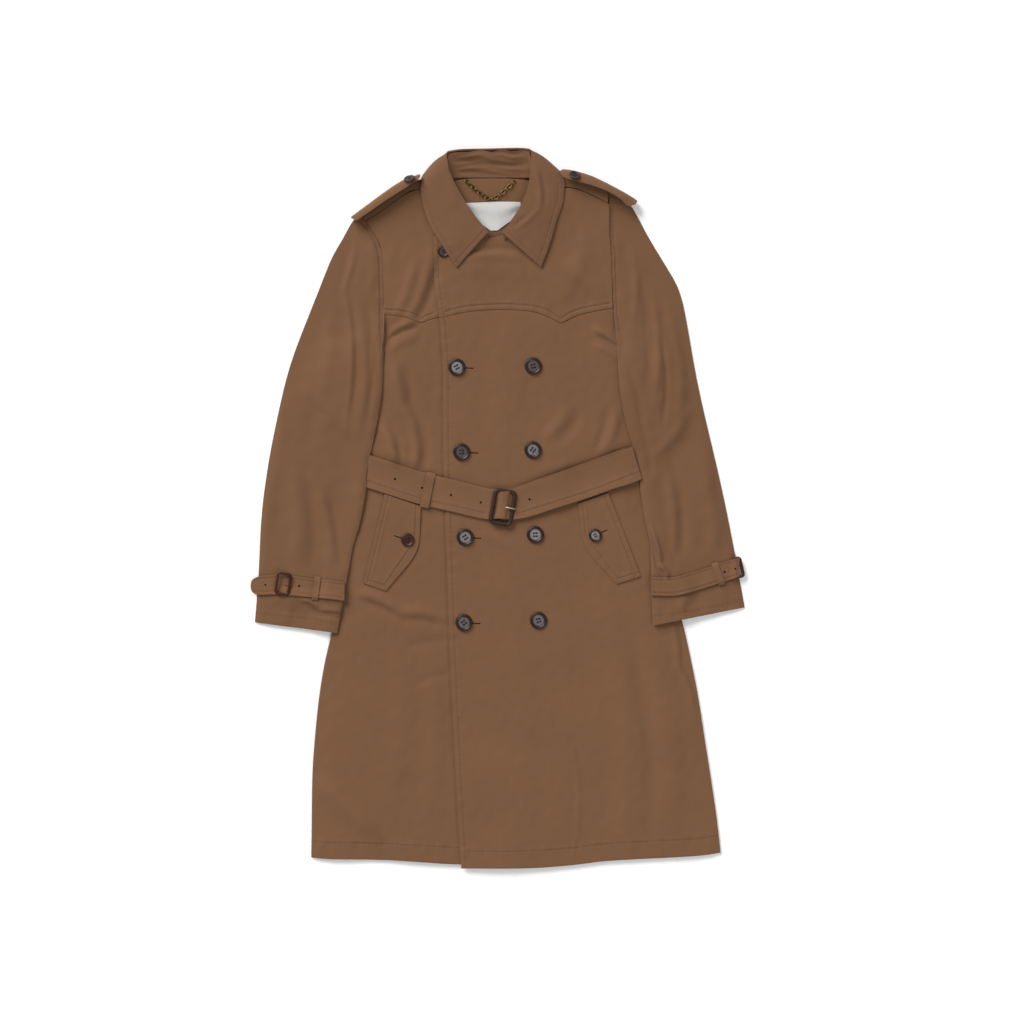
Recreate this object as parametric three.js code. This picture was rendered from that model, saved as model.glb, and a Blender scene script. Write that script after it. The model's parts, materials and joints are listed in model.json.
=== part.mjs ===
import * as THREE from "three";

// A belted double-breasted coat, laid on its back with the front up.
// Millimetres. +X is the coat's own left side, +Y runs up to the collar, +Z up off the floor.

// Named sizes
const CLOTH = 1.8; // wall of the body cloth
const SLEEVE_CLOTH = 1.7;
const SEAM = 0.3; // gap between two sewn pieces
const BODY_GAP = 3.2; // air between front and back
const SLEEVE_GAP = 3.4;
const BUTTON_RADIUS = 13;
const POCKET_BUTTON_RADIUS = 10;
const BELT_WALL = 2.4;
const CUFF_STRAP_WALL = 2.2;
const KEEPER_WALL = 1.6;

// Side and armhole line of the body: x of the right and left edge at each height
const EDGES = [
  { y: -560, right: -288.5, left: 349.5 },
  { y: -542.5, right: -288.3, left: 347.7 },
  { y: -502.2, right: -287.7, left: 343.6 },
  { y: -418.5, right: -286.8, left: 331.7 },
  { y: -350.3, right: -282.1, left: 320.9 },
  { y: -297.6, right: -276.7, left: 313.1 },
  { y: -238.7, right: -267.4, left: 301.5 },
  { y: -192.2, right: -255.8, left: 291.4 },
  { y: -142.6, right: -244.9, left: 279.0 },
  { y: -96.1, right: -234.8, left: 263.5 },
  { y: -49.6, right: -223.2, left: 244.9 },
  { y: -10.8, right: -212.3, left: 229.4 },
  { y: 20.2, right: -206.2, left: 222.9 },
  { y: 77.5, right: -205.4, left: 220.9 },
  { y: 113.2, right: -215.5, left: 229.4 },
  { y: 167.4, right: -235.6, left: 246.5 },
  { y: 206.2, right: -249.6, left: 255.8 },
  { y: 226.3, right: -248.7, left: 253.3 },
  { y: 240.2, right: -227.8, left: 234.1 },
  { y: 249.6, right: -204.0, left: 210.2 },
  { y: 258.9, right: -184.3, left: 192.7 },
  { y: 269.7, right: -175.2, left: 184.2 },
  { y: 306.9, right: -174.7, left: 179.8 },
  { y: 347.2, right: -175.2, left: 178.2 },
  { y: 390.6, right: -176.7, left: 177.2 },
  { y: 409.2, right: -181.3, left: 175.6 },
  { y: 429.4, right: -192.2, left: 174.1 },
  { y: 444.9, right: -203.1, left: 174.1 },
  { y: 458.0, right: -210.8, left: 174.5 },
  { y: 472.8, right: -218.6, left: 174.5 },
  { y: 492.9, right: -227.8, left: 174.5 },
];

// Free edge of the over front, from hem to neck
const FRONT_EDGE = [
  { y: -558.0, x: -55.2 },
  { y: -516.1, x: -58.0 },
  { y: -446.4, x: -62.0 },
  { y: -364.2, x: -66.2 },
  { y: -280.6, x: -70.4 },
  { y: -212.3, x: -73.2 },
  { y: -96.1, x: -77.0 },
  { y: -10.8, x: -79.8 },
  { y: 57.4, x: -82.2 },
  { y: 139.5, x: -83.4 },
  { y: 220.1, x: -83.4 },
  { y: 272.8, x: -86.8 },
  { y: 300.7, x: -90.1 },
  { y: 353.4, x: -97.7 },
  { y: 421.6, x: -98.4 },
];
const UNDER_REACH = 84; // the under front runs on below the over front to this x

const HEM_OVER = [
  { x: -60, y: -558.6 },
  { x: 35.6, y: -558.6 },
  { x: 122.5, y: -553.4 },
  { x: 159.7, y: -548.1 },
  { x: 323.9, y: -538.5 },
  { x: 350, y: -534.3 },
];
const HEM_BACK = [
  { x: -290, y: -542.0 },
  { x: -275.1, y: -544.3 },
  { x: -182.9, y: -545.7 },
  { x: -113.2, y: -549.4 },
  { x: -58.0, y: -552.9 },
  { x: 122, y: -550.0 },
  { x: 350, y: -534.3 },
];

// Lower line of the two front yokes, each with a point
const YOKE_LEFT_LOW = [
  { x: -99.2, y: 292.9 },
  { x: -80.6, y: 296.1 },
  { x: -49.6, y: 303.8 },
  { x: 4.7, y: 307.7 },
  { x: 51.1, y: 305.4 },
  { x: 74.4, y: 299.2 },
  { x: 99.2, y: 287.5 },
  { x: 117.8, y: 296.1 },
  { x: 136.4, y: 302.2 },
  { x: 179.8, y: 310.0 },
];
const YOKE_RIGHT_LOW = [
  { x: -176, y: 299.9 },
  { x: -150.3, y: 297.6 },
  { x: -131.8, y: 293.7 },
  { x: -117.8, y: 287.5 },
  { x: -107.0, y: 291.4 },
  { x: -94.5, y: 295.3 },
  { x: -57.4, y: 302.2 },
  { x: 84, y: 303.8 },
];
// Neckline and shoulder seam of each front
const YOKE_LEFT_HIGH = [
  { x: -98.4, y: 421.6 },
  { x: -34.1, y: 420.1 },
  { x: 0.0, y: 418.5 },
  { x: 23.2, y: 432.4 },
  { x: 46.5, y: 457.2 },
  { x: 63.6, y: 483.6 },
  { x: 77.5, y: 490.2 },
  { x: 91.5, y: 493.0 },
  { x: 112.0, y: 497.0 },
  { x: 139.5, y: 488.2 },
  { x: 174.1, y: 470.4 },
];
const YOKE_RIGHT_HIGH = [
  { x: -203.1, y: 444.9 },
  { x: -186.0, y: 455.7 },
  { x: -156.6, y: 476.6 },
  { x: -127.7, y: 494.0 },
  { x: -97.7, y: 497.0 },
  { x: -80.2, y: 490.0 },
  { x: -69.8, y: 480.6 },
  { x: -52.7, y: 455.7 },
  { x: -34.1, y: 432.4 },
  { x: -10.8, y: 418.5 },
  { x: 84, y: 415.5 },
];
// Fold of each shoulder, where the back cloth turns forward
const SHOULDER_RIGHT = [
  { x: -210.0, y: 457.0 },
  { x: -181.3, y: 479.7 },
  { x: -150.2, y: 502.5 },
  { x: -121.0, y: 511.0 },
];
const SHOULDER_LEFT = [
  { x: 109.0, y: 520.2 },
  { x: 130.2, y: 518.5 },
  { x: 153.5, y: 508.4 },
  { x: 173.6, y: 497.6 },
];
// Top line of the back: shoulders, and the neck seam between them
const BACK_TOP = [
  { x: -210.8, y: 455.0 },
  { x: -181.3, y: 476.7 },
  { x: -150.2, y: 499.5 },
  { x: -122.0, y: 505.0 },
  { x: -104.0, y: 500.0 },
  { x: -84.0, y: 503.0 },
  { x: -68.0, y: 510.5 },
  { x: -9.0, y: 511.5 },
  { x: 50.0, y: 510.5 },
  { x: 66.0, y: 503.0 },
  { x: 90.0, y: 502.0 },
  { x: 108.0, y: 513.0 },
  { x: 130.2, y: 514.5 },
  { x: 153.5, y: 504.4 },
  { x: 175.2, y: 492.0 },
];

// Soft ridges (height over 0) and troughs (under 0) of the body cloth
const BODY_FOLDS = [
  { name: "right chest drag", x1: -110, y1: 410, x2: -147, y2: 296, width: 14, height: 3.2 },
  { name: "right chest hollow", x1: -104, y1: 366, x2: -126, y2: 300, width: 12, height: -1.6 },
  { name: "left chest drag", x1: 150, y1: 420, x2: 120, y2: 330, width: 22, height: 1.8 },
  { name: "right armhole pull", x1: -150, y1: 250, x2: -170, y2: 180, width: 16, height: 2.0 },
  { name: "left armhole pull", x1: 150, y1: 238, x2: 182, y2: 214, width: 12, height: 2.6 },
  { name: "right waist pleat", x1: -170, y1: 150, x2: -144, y2: 76, width: 11, height: 2.8 },
  { name: "right waist tuck", x1: -112, y1: 130, x2: -104, y2: 72, width: 11, height: 1.8 },
  { name: "left waist pleat", x1: 178, y1: 170, x2: 160, y2: 96, width: 13, height: 2.4 },
  { name: "left waist tuck", x1: 112, y1: 130, x2: 104, y2: 76, width: 12, height: 1.4 },
  { name: "below right pocket", x1: -205, y1: -150, x2: -150, y2: -172, width: 13, height: 2.8 },
  { name: "below right pocket end", x1: -150, y1: -172, x2: -92, y2: -178, width: 13, height: 1.8 },
  { name: "below left pocket", x1: 160, y1: -150, x2: 240, y2: -176, width: 16, height: 2.0 },
  { name: "right skirt swing", x1: -262, y1: -400, x2: -190, y2: -506, width: 24, height: 2.6 },
  { name: "right skirt fall", x1: -170, y1: -230, x2: -182, y2: -420, width: 26, height: 1.6 },
  { name: "left skirt fall", x1: 210, y1: -230, x2: 236, y2: -500, width: 30, height: 2.2 },
  { name: "left skirt swing", x1: 120, y1: -360, x2: 128, y2: -530, width: 26, height: 1.4 },
];

// A smooth line through the rows of a table: the value of one column at a place in another
function column(table, by, key) {
  const at = table.map((row) => row[by]);
  const value = table.map((row) => row[key]);
  const last = at.length - 1;
  const step = at.slice(1).map((a, i) => (value[i + 1] - value[i]) / (a - at[i]));
  const slope = at.map((a, i) => {
    if (i === 0) return step[0];
    if (i === last) return step[last - 1];
    const before = step[i - 1],
      after = step[i];
    return before * after <= 0 ? 0 : (2 * before * after) / (before + after);
  });
  return (place) => {
    if (place <= at[0]) return value[0];
    if (place >= at[last]) return value[last];
    let i = 0;
    while (at[i + 1] < place) i++;
    const width = at[i + 1] - at[i],
      t = (place - at[i]) / width;
    const t2 = t * t,
      t3 = t2 * t;
    return (
      value[i] * (2 * t3 - 3 * t2 + 1) +
      slope[i] * width * (t3 - 2 * t2 + t) +
      value[i + 1] * (3 * t2 - 2 * t3) +
      slope[i + 1] * width * (t3 - t2)
    );
  };
}

const mix = (a, b, t) => a + (b - a) * t;
const ease = (from, to, at) => {
  const t = Math.min(1, Math.max(0, (at - from) / (to - from)));
  return t * t * (3 - 2 * t);
};

// Height that a list of folds adds at a place
function foldHeight(folds, x, y) {
  return folds.reduce((sum, fold) => {
    const dx = fold.x2 - fold.x1,
      dy = fold.y2 - fold.y1;
    const along = ((x - fold.x1) * dx + (y - fold.y1) * dy) / (dx * dx + dy * dy);
    const t = Math.min(1, Math.max(0, along));
    const away = Math.hypot(x - fold.x1 - t * dx, y - fold.y1 - t * dy) / fold.width;
    const taper = 0.35 + 0.65 * Math.sin(Math.PI * t);
    return sum + fold.height * taper * Math.exp(-away * away);
  }, 0);
}

const rightEdge = column(EDGES, "y", "right");
const leftEdge = column(EDGES, "y", "left");
const frontEdge = column(FRONT_EDGE, "y", "x");
const hemOver = column(HEM_OVER, "x", "y");
const hemBack = column(HEM_BACK, "x", "y");
const yokeLeftLow = column(YOKE_LEFT_LOW, "x", "y");
const yokeRightLow = column(YOKE_RIGHT_LOW, "x", "y");
const yokeLeftHigh = column(YOKE_LEFT_HIGH, "x", "y");
const yokeRightHigh = column(YOKE_RIGHT_HIGH, "x", "y");
const shoulderRight = column(SHOULDER_RIGHT, "x", "y");
const shoulderLeft = column(SHOULDER_LEFT, "x", "y");
const backTop = column(BACK_TOP, "x", "y");

// Centre line of the belt, dipping to the buckle
const BELT_LINE = [
  { x: -206, y: 60, half: 23.6 },
  { x: -160, y: 44, half: 23.8 },
  { x: -109, y: 28.4, half: 24.2 },
  { x: -60, y: 17, half: 24 },
  { x: -8, y: 5.4, half: 23.6 },
  { x: 9, y: 4.5, half: 23.6 },
  { x: 31, y: 7, half: 24 },
  { x: 73, y: 20.6, half: 24.6 },
  { x: 136, y: 41.6, half: 25.4 },
  { x: 216, y: 71.4, half: 25 },
];
const beltY = column(BELT_LINE, "x", "y");
const beltHalf = column(BELT_LINE, "x", "half");

// The back lies on the floor, and lifts a little where the collar runs below it at the neck
const backFloor = (x, y) =>
  3.2 * ease(458, 478, y) * ease(-126, -106, x) * (1 - ease(86, 106, x));

// Underside of the first front layer: it closes on the back at the side seams and stands off inside
function frontFloor(x, y) {
  const toRight = x - rightEdge(y),
    toLeft = leftEdge(y) - x;
  const side = Math.min(ease(-1, 34, toRight), ease(-1, 34, toLeft));
  const open = Math.max(side, ease(268, 310, y));
  const belt = Math.exp(-(((y - beltY(x)) / 26) ** 4));
  const blouse =
    1.5 * Math.exp(-(((y - beltY(x) - 44) / 20) ** 2)) +
    1.1 * Math.exp(-(((y - beltY(x) + 40) / 20) ** 2));
  const folds = foldHeight(BODY_FOLDS, x, y);
  const rise = BODY_GAP - 1.2 * belt + (1 - belt) * (folds + blouse);
  const back = 1.6 * ease(440, 480, y);
  return CLOTH + SEAM + Math.max(0.2, rise * open) + back * open;
}
const LAP = CLOTH + 0.7; // lift of the over front where the under front lies below it
const overLift = (x) => LAP * (1 - ease(UNDER_REACH + 6, UNDER_REACH + 44, x));
const underTop = (x, y) => frontFloor(x, y) + CLOTH;
const overTop = (x, y) => frontFloor(x, y) + overLift(x) + CLOTH;
const bodyTop = (x, y) => (x < frontEdge(y) ? underTop(x, y) : overTop(x, y));

// A closed wall between two grids of points of the same size
function wallBetween(top, bottom) {
  const rows = top.length,
    cols = top[0].length,
    position = [],
    index = [];
  for (const grid of [top, bottom]) for (const row of grid) for (const p of row) position.push(...p);
  const id = (layer, r, c) => layer * rows * cols + r * cols + c;
  const gap = (a, b) =>
    Math.hypot(...[0, 1, 2].map((k) => position[3 * a + k] - position[3 * b + k]));
  const quad = (a, b, c, d) => {
    if (gap(a, c) <= gap(b, d)) index.push(a, b, c, a, c, d);
    else index.push(b, c, d, b, d, a);
  };
  for (let r = 0; r < rows - 1; r++)
    for (let c = 0; c < cols - 1; c++) {
      quad(id(0, r, c), id(0, r, c + 1), id(0, r + 1, c + 1), id(0, r + 1, c));
      quad(id(1, r, c), id(1, r + 1, c), id(1, r + 1, c + 1), id(1, r, c + 1));
    }
  for (let c = 0; c < cols - 1; c++) {
    quad(id(0, 0, c), id(1, 0, c), id(1, 0, c + 1), id(0, 0, c + 1));
    quad(id(0, rows - 1, c), id(0, rows - 1, c + 1), id(1, rows - 1, c + 1), id(1, rows - 1, c));
  }
  for (let r = 0; r < rows - 1; r++) {
    quad(id(0, r, 0), id(0, r + 1, 0), id(1, r + 1, 0), id(1, r, 0));
    quad(id(0, r, cols - 1), id(1, r, cols - 1), id(1, r + 1, cols - 1), id(0, r + 1, cols - 1));
  }
  return solid(position, index);
}

// A closed tube wall between an outer and an inner set of rings
function tubeBetween(outer, inner) {
  const rows = outer.length,
    round = outer[0].length,
    position = [],
    index = [];
  for (const grid of [outer, inner]) for (const row of grid) for (const p of row) position.push(...p);
  const id = (layer, r, c) => layer * rows * round + r * round + ((c + round) % round);
  const quad = (a, b, c, d) => index.push(a, b, c, a, c, d);
  for (let c = 0; c < round; c++) {
    for (let r = 0; r < rows - 1; r++) {
      quad(id(0, r, c), id(0, r, c + 1), id(0, r + 1, c + 1), id(0, r + 1, c));
      quad(id(1, r, c), id(1, r + 1, c), id(1, r + 1, c + 1), id(1, r, c + 1));
    }
    quad(id(0, 0, c), id(1, 0, c), id(1, 0, c + 1), id(0, 0, c + 1));
    quad(id(0, rows - 1, c), id(0, rows - 1, c + 1), id(1, rows - 1, c + 1), id(1, rows - 1, c));
  }
  return solid(position, index);
}

// Geometry from points and triangles, turned to face out
function solid(position, index) {
  let volume = 0;
  const p = (i) => new THREE.Vector3(...position.slice(3 * i, 3 * i + 3));
  for (let i = 0; i < index.length; i += 3)
    volume += p(index[i]).dot(p(index[i + 1]).cross(p(index[i + 2]))) / 6;
  const faces = [];
  for (let i = 0; i < index.length; i += 3)
    faces.push(index[i], ...(volume < 0 ? [index[i + 2], index[i + 1]] : [index[i + 1], index[i + 2]]));
  const geometry = new THREE.BufferGeometry();
  geometry.setAttribute("position", new THREE.Float32BufferAttribute(position, 3));
  geometry.setIndex(faces);
  geometry.computeVertexNormals();
  return geometry;
}

// A grid of points from a function of two fractions
const grid = (rows, cols, point) =>
  Array.from({ length: rows + 1 }, (_, r) =>
    Array.from({ length: cols + 1 }, (_, c) => point(c / cols, r / rows)),
  );

// A laid wall: plan(u, v) gives x and y, floor(x, y) the height of its underside
function laidWall(rows, cols, plan, floor, thick) {
  const bottom = grid(rows, cols, (u, v) => {
    const [x, y] = plan(u, v);
    return [x, y, floor(x, y)];
  });
  const top = bottom.map((row) => row.map(([x, y, z]) => [x, y, z + thick]));
  return wallBetween(top, bottom);
}

// A wall of even thickness either side of a curved middle surface
function curvedWall(rows, cols, point, thick) {
  const e = 1e-3;
  const side = (sign) =>
    grid(rows, cols, (u, v) => {
      const p = point(u, v);
      const across = new THREE.Vector3(...point(Math.min(1, u + e), v)).sub(
        new THREE.Vector3(...point(Math.max(0, u - e), v)),
      );
      const along = new THREE.Vector3(...point(u, Math.min(1, v + e))).sub(
        new THREE.Vector3(...point(u, Math.max(0, v - e))),
      );
      const n = across.cross(along).normalize().multiplyScalar((sign * thick) / 2);
      return [p[0] + n.x, p[1] + n.y, p[2] + n.z];
    });
  return wallBetween(side(1), side(-1));
}

// Plan of a body piece between two side lines and two end lines
function bodyPlan(fromX, toX, fromY, toY, ends = [0, 1]) {
  const solve = (u, line, guess) => {
    let y = guess;
    for (let i = 0; i < 30; i++) y = mix(y, line(mix(fromX(y), toX(y), u)), 0.6);
    return y;
  };
  return (u, v) => {
    const low = solve(u, fromY, fromY(0)),
      high = solve(u, toY, toY(0));
    const y = mix(low, high, mix(ends[0], ends[1], v));
    return [mix(fromX(y), toX(y), u), y];
  };
}

const group = new THREE.Group();
const COLOURS = {
  cloth: 0x7e5c41,
  collar: 0x795841,
  lining: 0x72533c,
  belt: 0x7d5a40,
  button: 0x3a2c24,
  redButton: 0x512a1c,
  buckle: 0x3a2318,
  cuffBuckle: 0x4c2115,
  brass: 0x8a744a,
  label: 0xe4e1da,
};
function add(name, geometry, colour, metalness = 0, roughness = 0.9) {
  const material = new THREE.MeshStandardMaterial({ color: COLOURS[colour], metalness, roughness });
  material.name = name + "_material";
  const mesh = new THREE.Mesh(geometry, material);
  mesh.name = name;
  group.add(mesh);
  return mesh;
}

// Body
const backPlan = bodyPlan(rightEdge, leftEdge, hemBack, backTop);
add(
  "back",
  laidWall(
    26,
    14,
    (u, v) => backPlan(u, 1 - (1 - v) ** 1.35),
    backFloor,
    CLOTH,
  ),
  "lining",
);
add(
  "front_under",
  laidWall(
    29,
    15,
    bodyPlan(rightEdge, () => UNDER_REACH, hemBack, (x) => yokeRightLow(x) - SEAM),
    frontFloor,
    CLOTH,
  ),
  "cloth",
);
add(
  "front_over",
  laidWall(
    29,
    17,
    bodyPlan(frontEdge, leftEdge, hemOver, (x) => yokeLeftLow(x) - SEAM),
    (x, y) => frontFloor(x, y) + overLift(x),
    CLOTH,
  ),
  "cloth",
);
add(
  "yoke_under",
  laidWall(
    9,
    15,
    bodyPlan(rightEdge, () => UNDER_REACH, yokeRightLow, yokeRightHigh),
    frontFloor,
    CLOTH + 0.2,
  ),
  "cloth",
);
add(
  "yoke_over",
  laidWall(
    9,
    17,
    bodyPlan(frontEdge, leftEdge, yokeLeftLow, yokeLeftHigh),
    (x, y) => frontFloor(x, y) + overLift(x) + 0.3,
    CLOTH + 0.2,
  ),
  "cloth",
);

// Between two sewn shoulders the back cloth turns over the fold to the front seam
function shoulder(fold, seam, from, to, lift) {
  return curvedWall(
    4,
    9,
    (u, v) => {
      const x = mix(from, to, u);
      const y0 = backTop(x) + 2.0,
        y1 = seam(x) + 0.9,
        out = fold(x) + 1.2;
      const top = frontFloor(x, y1) + lift(x) + 1;
      const w = 1 - v;
      const y = w ** 3 * y0 + 3 * w * w * v * out + 3 * w * v * v * out + v ** 3 * y1;
      const z = w ** 3 * 0.95 + 3 * w * w * v * 0.95 + 3 * w * v * v * (top + 0.4) + v ** 3 * top;
      return [x, y, z + backFloor(x, y0) * (1 - v)];
    },
    CLOTH,
  );
}
add("shoulder_right", shoulder(shoulderRight, yokeRightHigh, -206, -121, () => 0), "cloth");
add("shoulder_left", shoulder(shoulderLeft, yokeLeftHigh, 109, 172, (x) => overLift(x) + 0.3), "cloth");

// Sleeves: each row runs from the outer edge to the inner edge; bow bends it along the armhole
const SLEEVE_RIGHT = [
  { outerX: -211.4, outerY: 457.0, innerX: -176.2, innerY: 264.4, bow: 1 },
  { outerX: -224.0, outerY: 445.6, innerX: -175.6, innerY: 245.8, bow: 0.9 },
  { outerX: -238.7, outerY: 418.9, innerX: -175.9, innerY: 224.2, bow: 0.7 },
  { outerX: -256.5, outerY: 388.6, innerX: -176.7, innerY: 201.5, bow: 0.5 },
  { outerX: -275.9, outerY: 339.4, innerX: -178.2, innerY: 178.2, bow: 0.35 },
  { outerX: -299.9, outerY: 279.4, innerX: -182.9, innerY: 147.2, bow: 0.2 },
  { outerX: -323.2, outerY: 215.5, innerX: -189.9, innerY: 112.2, bow: 0.1 },
  { outerX: -340.2, outerY: 144.2, innerX: -199.0, innerY: 72.0, bow: 0 },
  { outerX: -355.7, outerY: 65.1, innerX: -208.0, innerY: 24.8, bow: 0 },
  { outerX: -366.6, outerY: -21.7, innerX: -218.6, innerY: -31.0, bow: 0 },
  { outerX: -369.8, outerY: -99.2, innerX: -232.0, innerY: -107.0, bow: 0 },
  { outerX: -375.9, outerY: -177.5, innerX: -248.0, innerY: -193.8, bow: 0 },
];
const SLEEVE_LEFT = [
  { outerX: 175.4, outerY: 491.9, innerX: 184.6, innerY: 266.2, bow: 1 },
  { outerX: 205.5, outerY: 473.1, innerX: 186.8, innerY: 240.6, bow: 1 },
  { outerX: 224.8, outerY: 438.7, innerX: 188.3, innerY: 215.5, bow: 0.9 },
  { outerX: 243.3, outerY: 406.1, innerX: 190.7, innerY: 192.2, bow: 0.7 },
  { outerX: 264.6, outerY: 371.4, innerX: 194.5, innerY: 167.4, bow: 0.5 },
  { outerX: 284.4, outerY: 334.8, innerX: 200.0, innerY: 136.4, bow: 0.3 },
  { outerX: 296.8, outerY: 274.4, innerX: 209.2, innerY: 105.4, bow: 0.2 },
  { outerX: 306.9, outerY: 215.5, innerX: 217.6, innerY: 71.3, bow: 0.1 },
  { outerX: 321.6, outerY: 145.7, innerX: 226.3, innerY: 32.6, bow: 0 },
  { outerX: 341.0, outerY: 65.1, innerX: 232.5, innerY: -9.3, bow: 0 },
  { outerX: 358.8, outerY: -17.1, innerX: 237.2, innerY: -54.2, bow: 0 },
  { outerX: 371.2, outerY: -82.2, innerX: 238.7, innerY: -110.0, bow: 0 },
  { outerX: 384.4, outerY: -154.2, innerX: 241.0, innerY: -182.1, bow: 0 },
];
const SLEEVE_FOLDS = [
  { name: "right head ridge", x1: -222, y1: 430, x2: -234, y2: 322, width: 14, height: 2.4 },
  { name: "right elbow pull", x1: -296, y1: 190, x2: -230, y2: 120, width: 16, height: 2.6 },
  { name: "right forearm hollow", x1: -268, y1: 30, x2: -244, y2: -74, width: 15, height: -1.6 },
  { name: "right forearm ridge", x1: -300, y1: 60, x2: -290, y2: -60, width: 18, height: 2.2 },
  { name: "right cuff gather", x1: -300, y1: -150, x2: -252, y2: -168, width: 11, height: 1.6 },
  { name: "left head ridge", x1: 214, y1: 420, x2: 222, y2: 318, width: 14, height: 2.0 },
  { name: "left upper fall", x1: 254, y1: 300, x2: 248, y2: 150, width: 16, height: 2.2 },
  { name: "left elbow pull", x1: 290, y1: 170, x2: 250, y2: 96, width: 14, height: 2.2 },
  { name: "left forearm fold", x1: 256, y1: -30, x2: 268, y2: -104, width: 12, height: 2.2 },
  { name: "left forearm ridge", x1: 318, y1: 60, x2: 330, y2: -50, width: 18, height: 2.0 },
];
const numbered = (table) => table.map((row, i) => ({ ...row, at: i / (table.length - 1) }));
const columns = (table, by, keys) =>
  Object.fromEntries(keys.map((key) => [key, column(table, by, key)]));

function sleevePlan(table, armhole) {
  const f = columns(numbered(table), "at", ["outerX", "outerY", "innerX", "innerY", "bow"]);
  return (t, s) => {
    const x = mix(f.outerX(s), f.innerX(s), t),
      y = mix(f.outerY(s), f.innerY(s), t);
    const bend = Math.sin(Math.PI * t) > 0.02 ? 1 : 0;
    return [x + f.bow(s) * bend * (armhole(Math.max(y, 269.7)) - x), y];
  };
}
// Underside of a sleeve: on the floor, and up over the side of the body where it lies on it
const sleeveFloorOver = (edge, side) => (x, y) => {
  let near = Infinity,
    at = y;
  for (let k = -12; k <= 12; k++) {
    const yk = Math.min(y + 5 * k, 272);
    const away = Math.hypot(Math.max(0, side * (x - edge(yk))), y - yk);
    if (away < near) {
      near = away;
      at = yk;
    }
  }
  const inside = side > 0 ? Math.min(x, edge(at)) : Math.max(x, edge(at));
  return (bodyTop(inside, at) + 2.2) * (1 - ease(10, 34, near));
};
function sleeve(table, edge, side, rows) {
  const plan = sleevePlan(table, (y) => edge(y) + 2.7 * side);
  const floor = sleeveFloorOver(edge, side);
  const across = [0, 0.05, 0.17, 0.33, 0.5, 0.67, 0.83, 0.95, 1];
  const round = [
    ...across.map((t) => [t, t === 0 || t === 1 ? 0.5 : 0]),
    ...across.slice(1, -1).reverse().map((t) => [t, 1]),
  ];
  const open = (t, x, y) =>
    Math.max(0.4, (SLEEVE_GAP + foldHeight(SLEEVE_FOLDS, x, y)) * Math.sin(Math.PI * t) ** 0.6);
  const ring = (s, inner) =>
    round.map(([t, up]) => {
      const inset = inner ? 0.02 : 0;
      const [x, y] = plan(mix(inset, 1 - inset, t), s);
      const low = floor(x, y),
        gap = open(t, x, y);
      const thick = SLEEVE_CLOTH;
      if (inner) return [x, y, low + thick + up * gap];
      return [x, y, low + up * (2 * thick + gap)];
    });
  const rings = (inner) => Array.from({ length: rows + 1 }, (_, i) => ring(i / rows, inner));
  return tubeBetween(rings(false), rings(true));
}
add("sleeve_right", sleeve(SLEEVE_RIGHT, rightEdge, -1, 23), "cloth");
add("sleeve_left", sleeve(SLEEVE_LEFT, leftEdge, 1, 23), "cloth");

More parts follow.
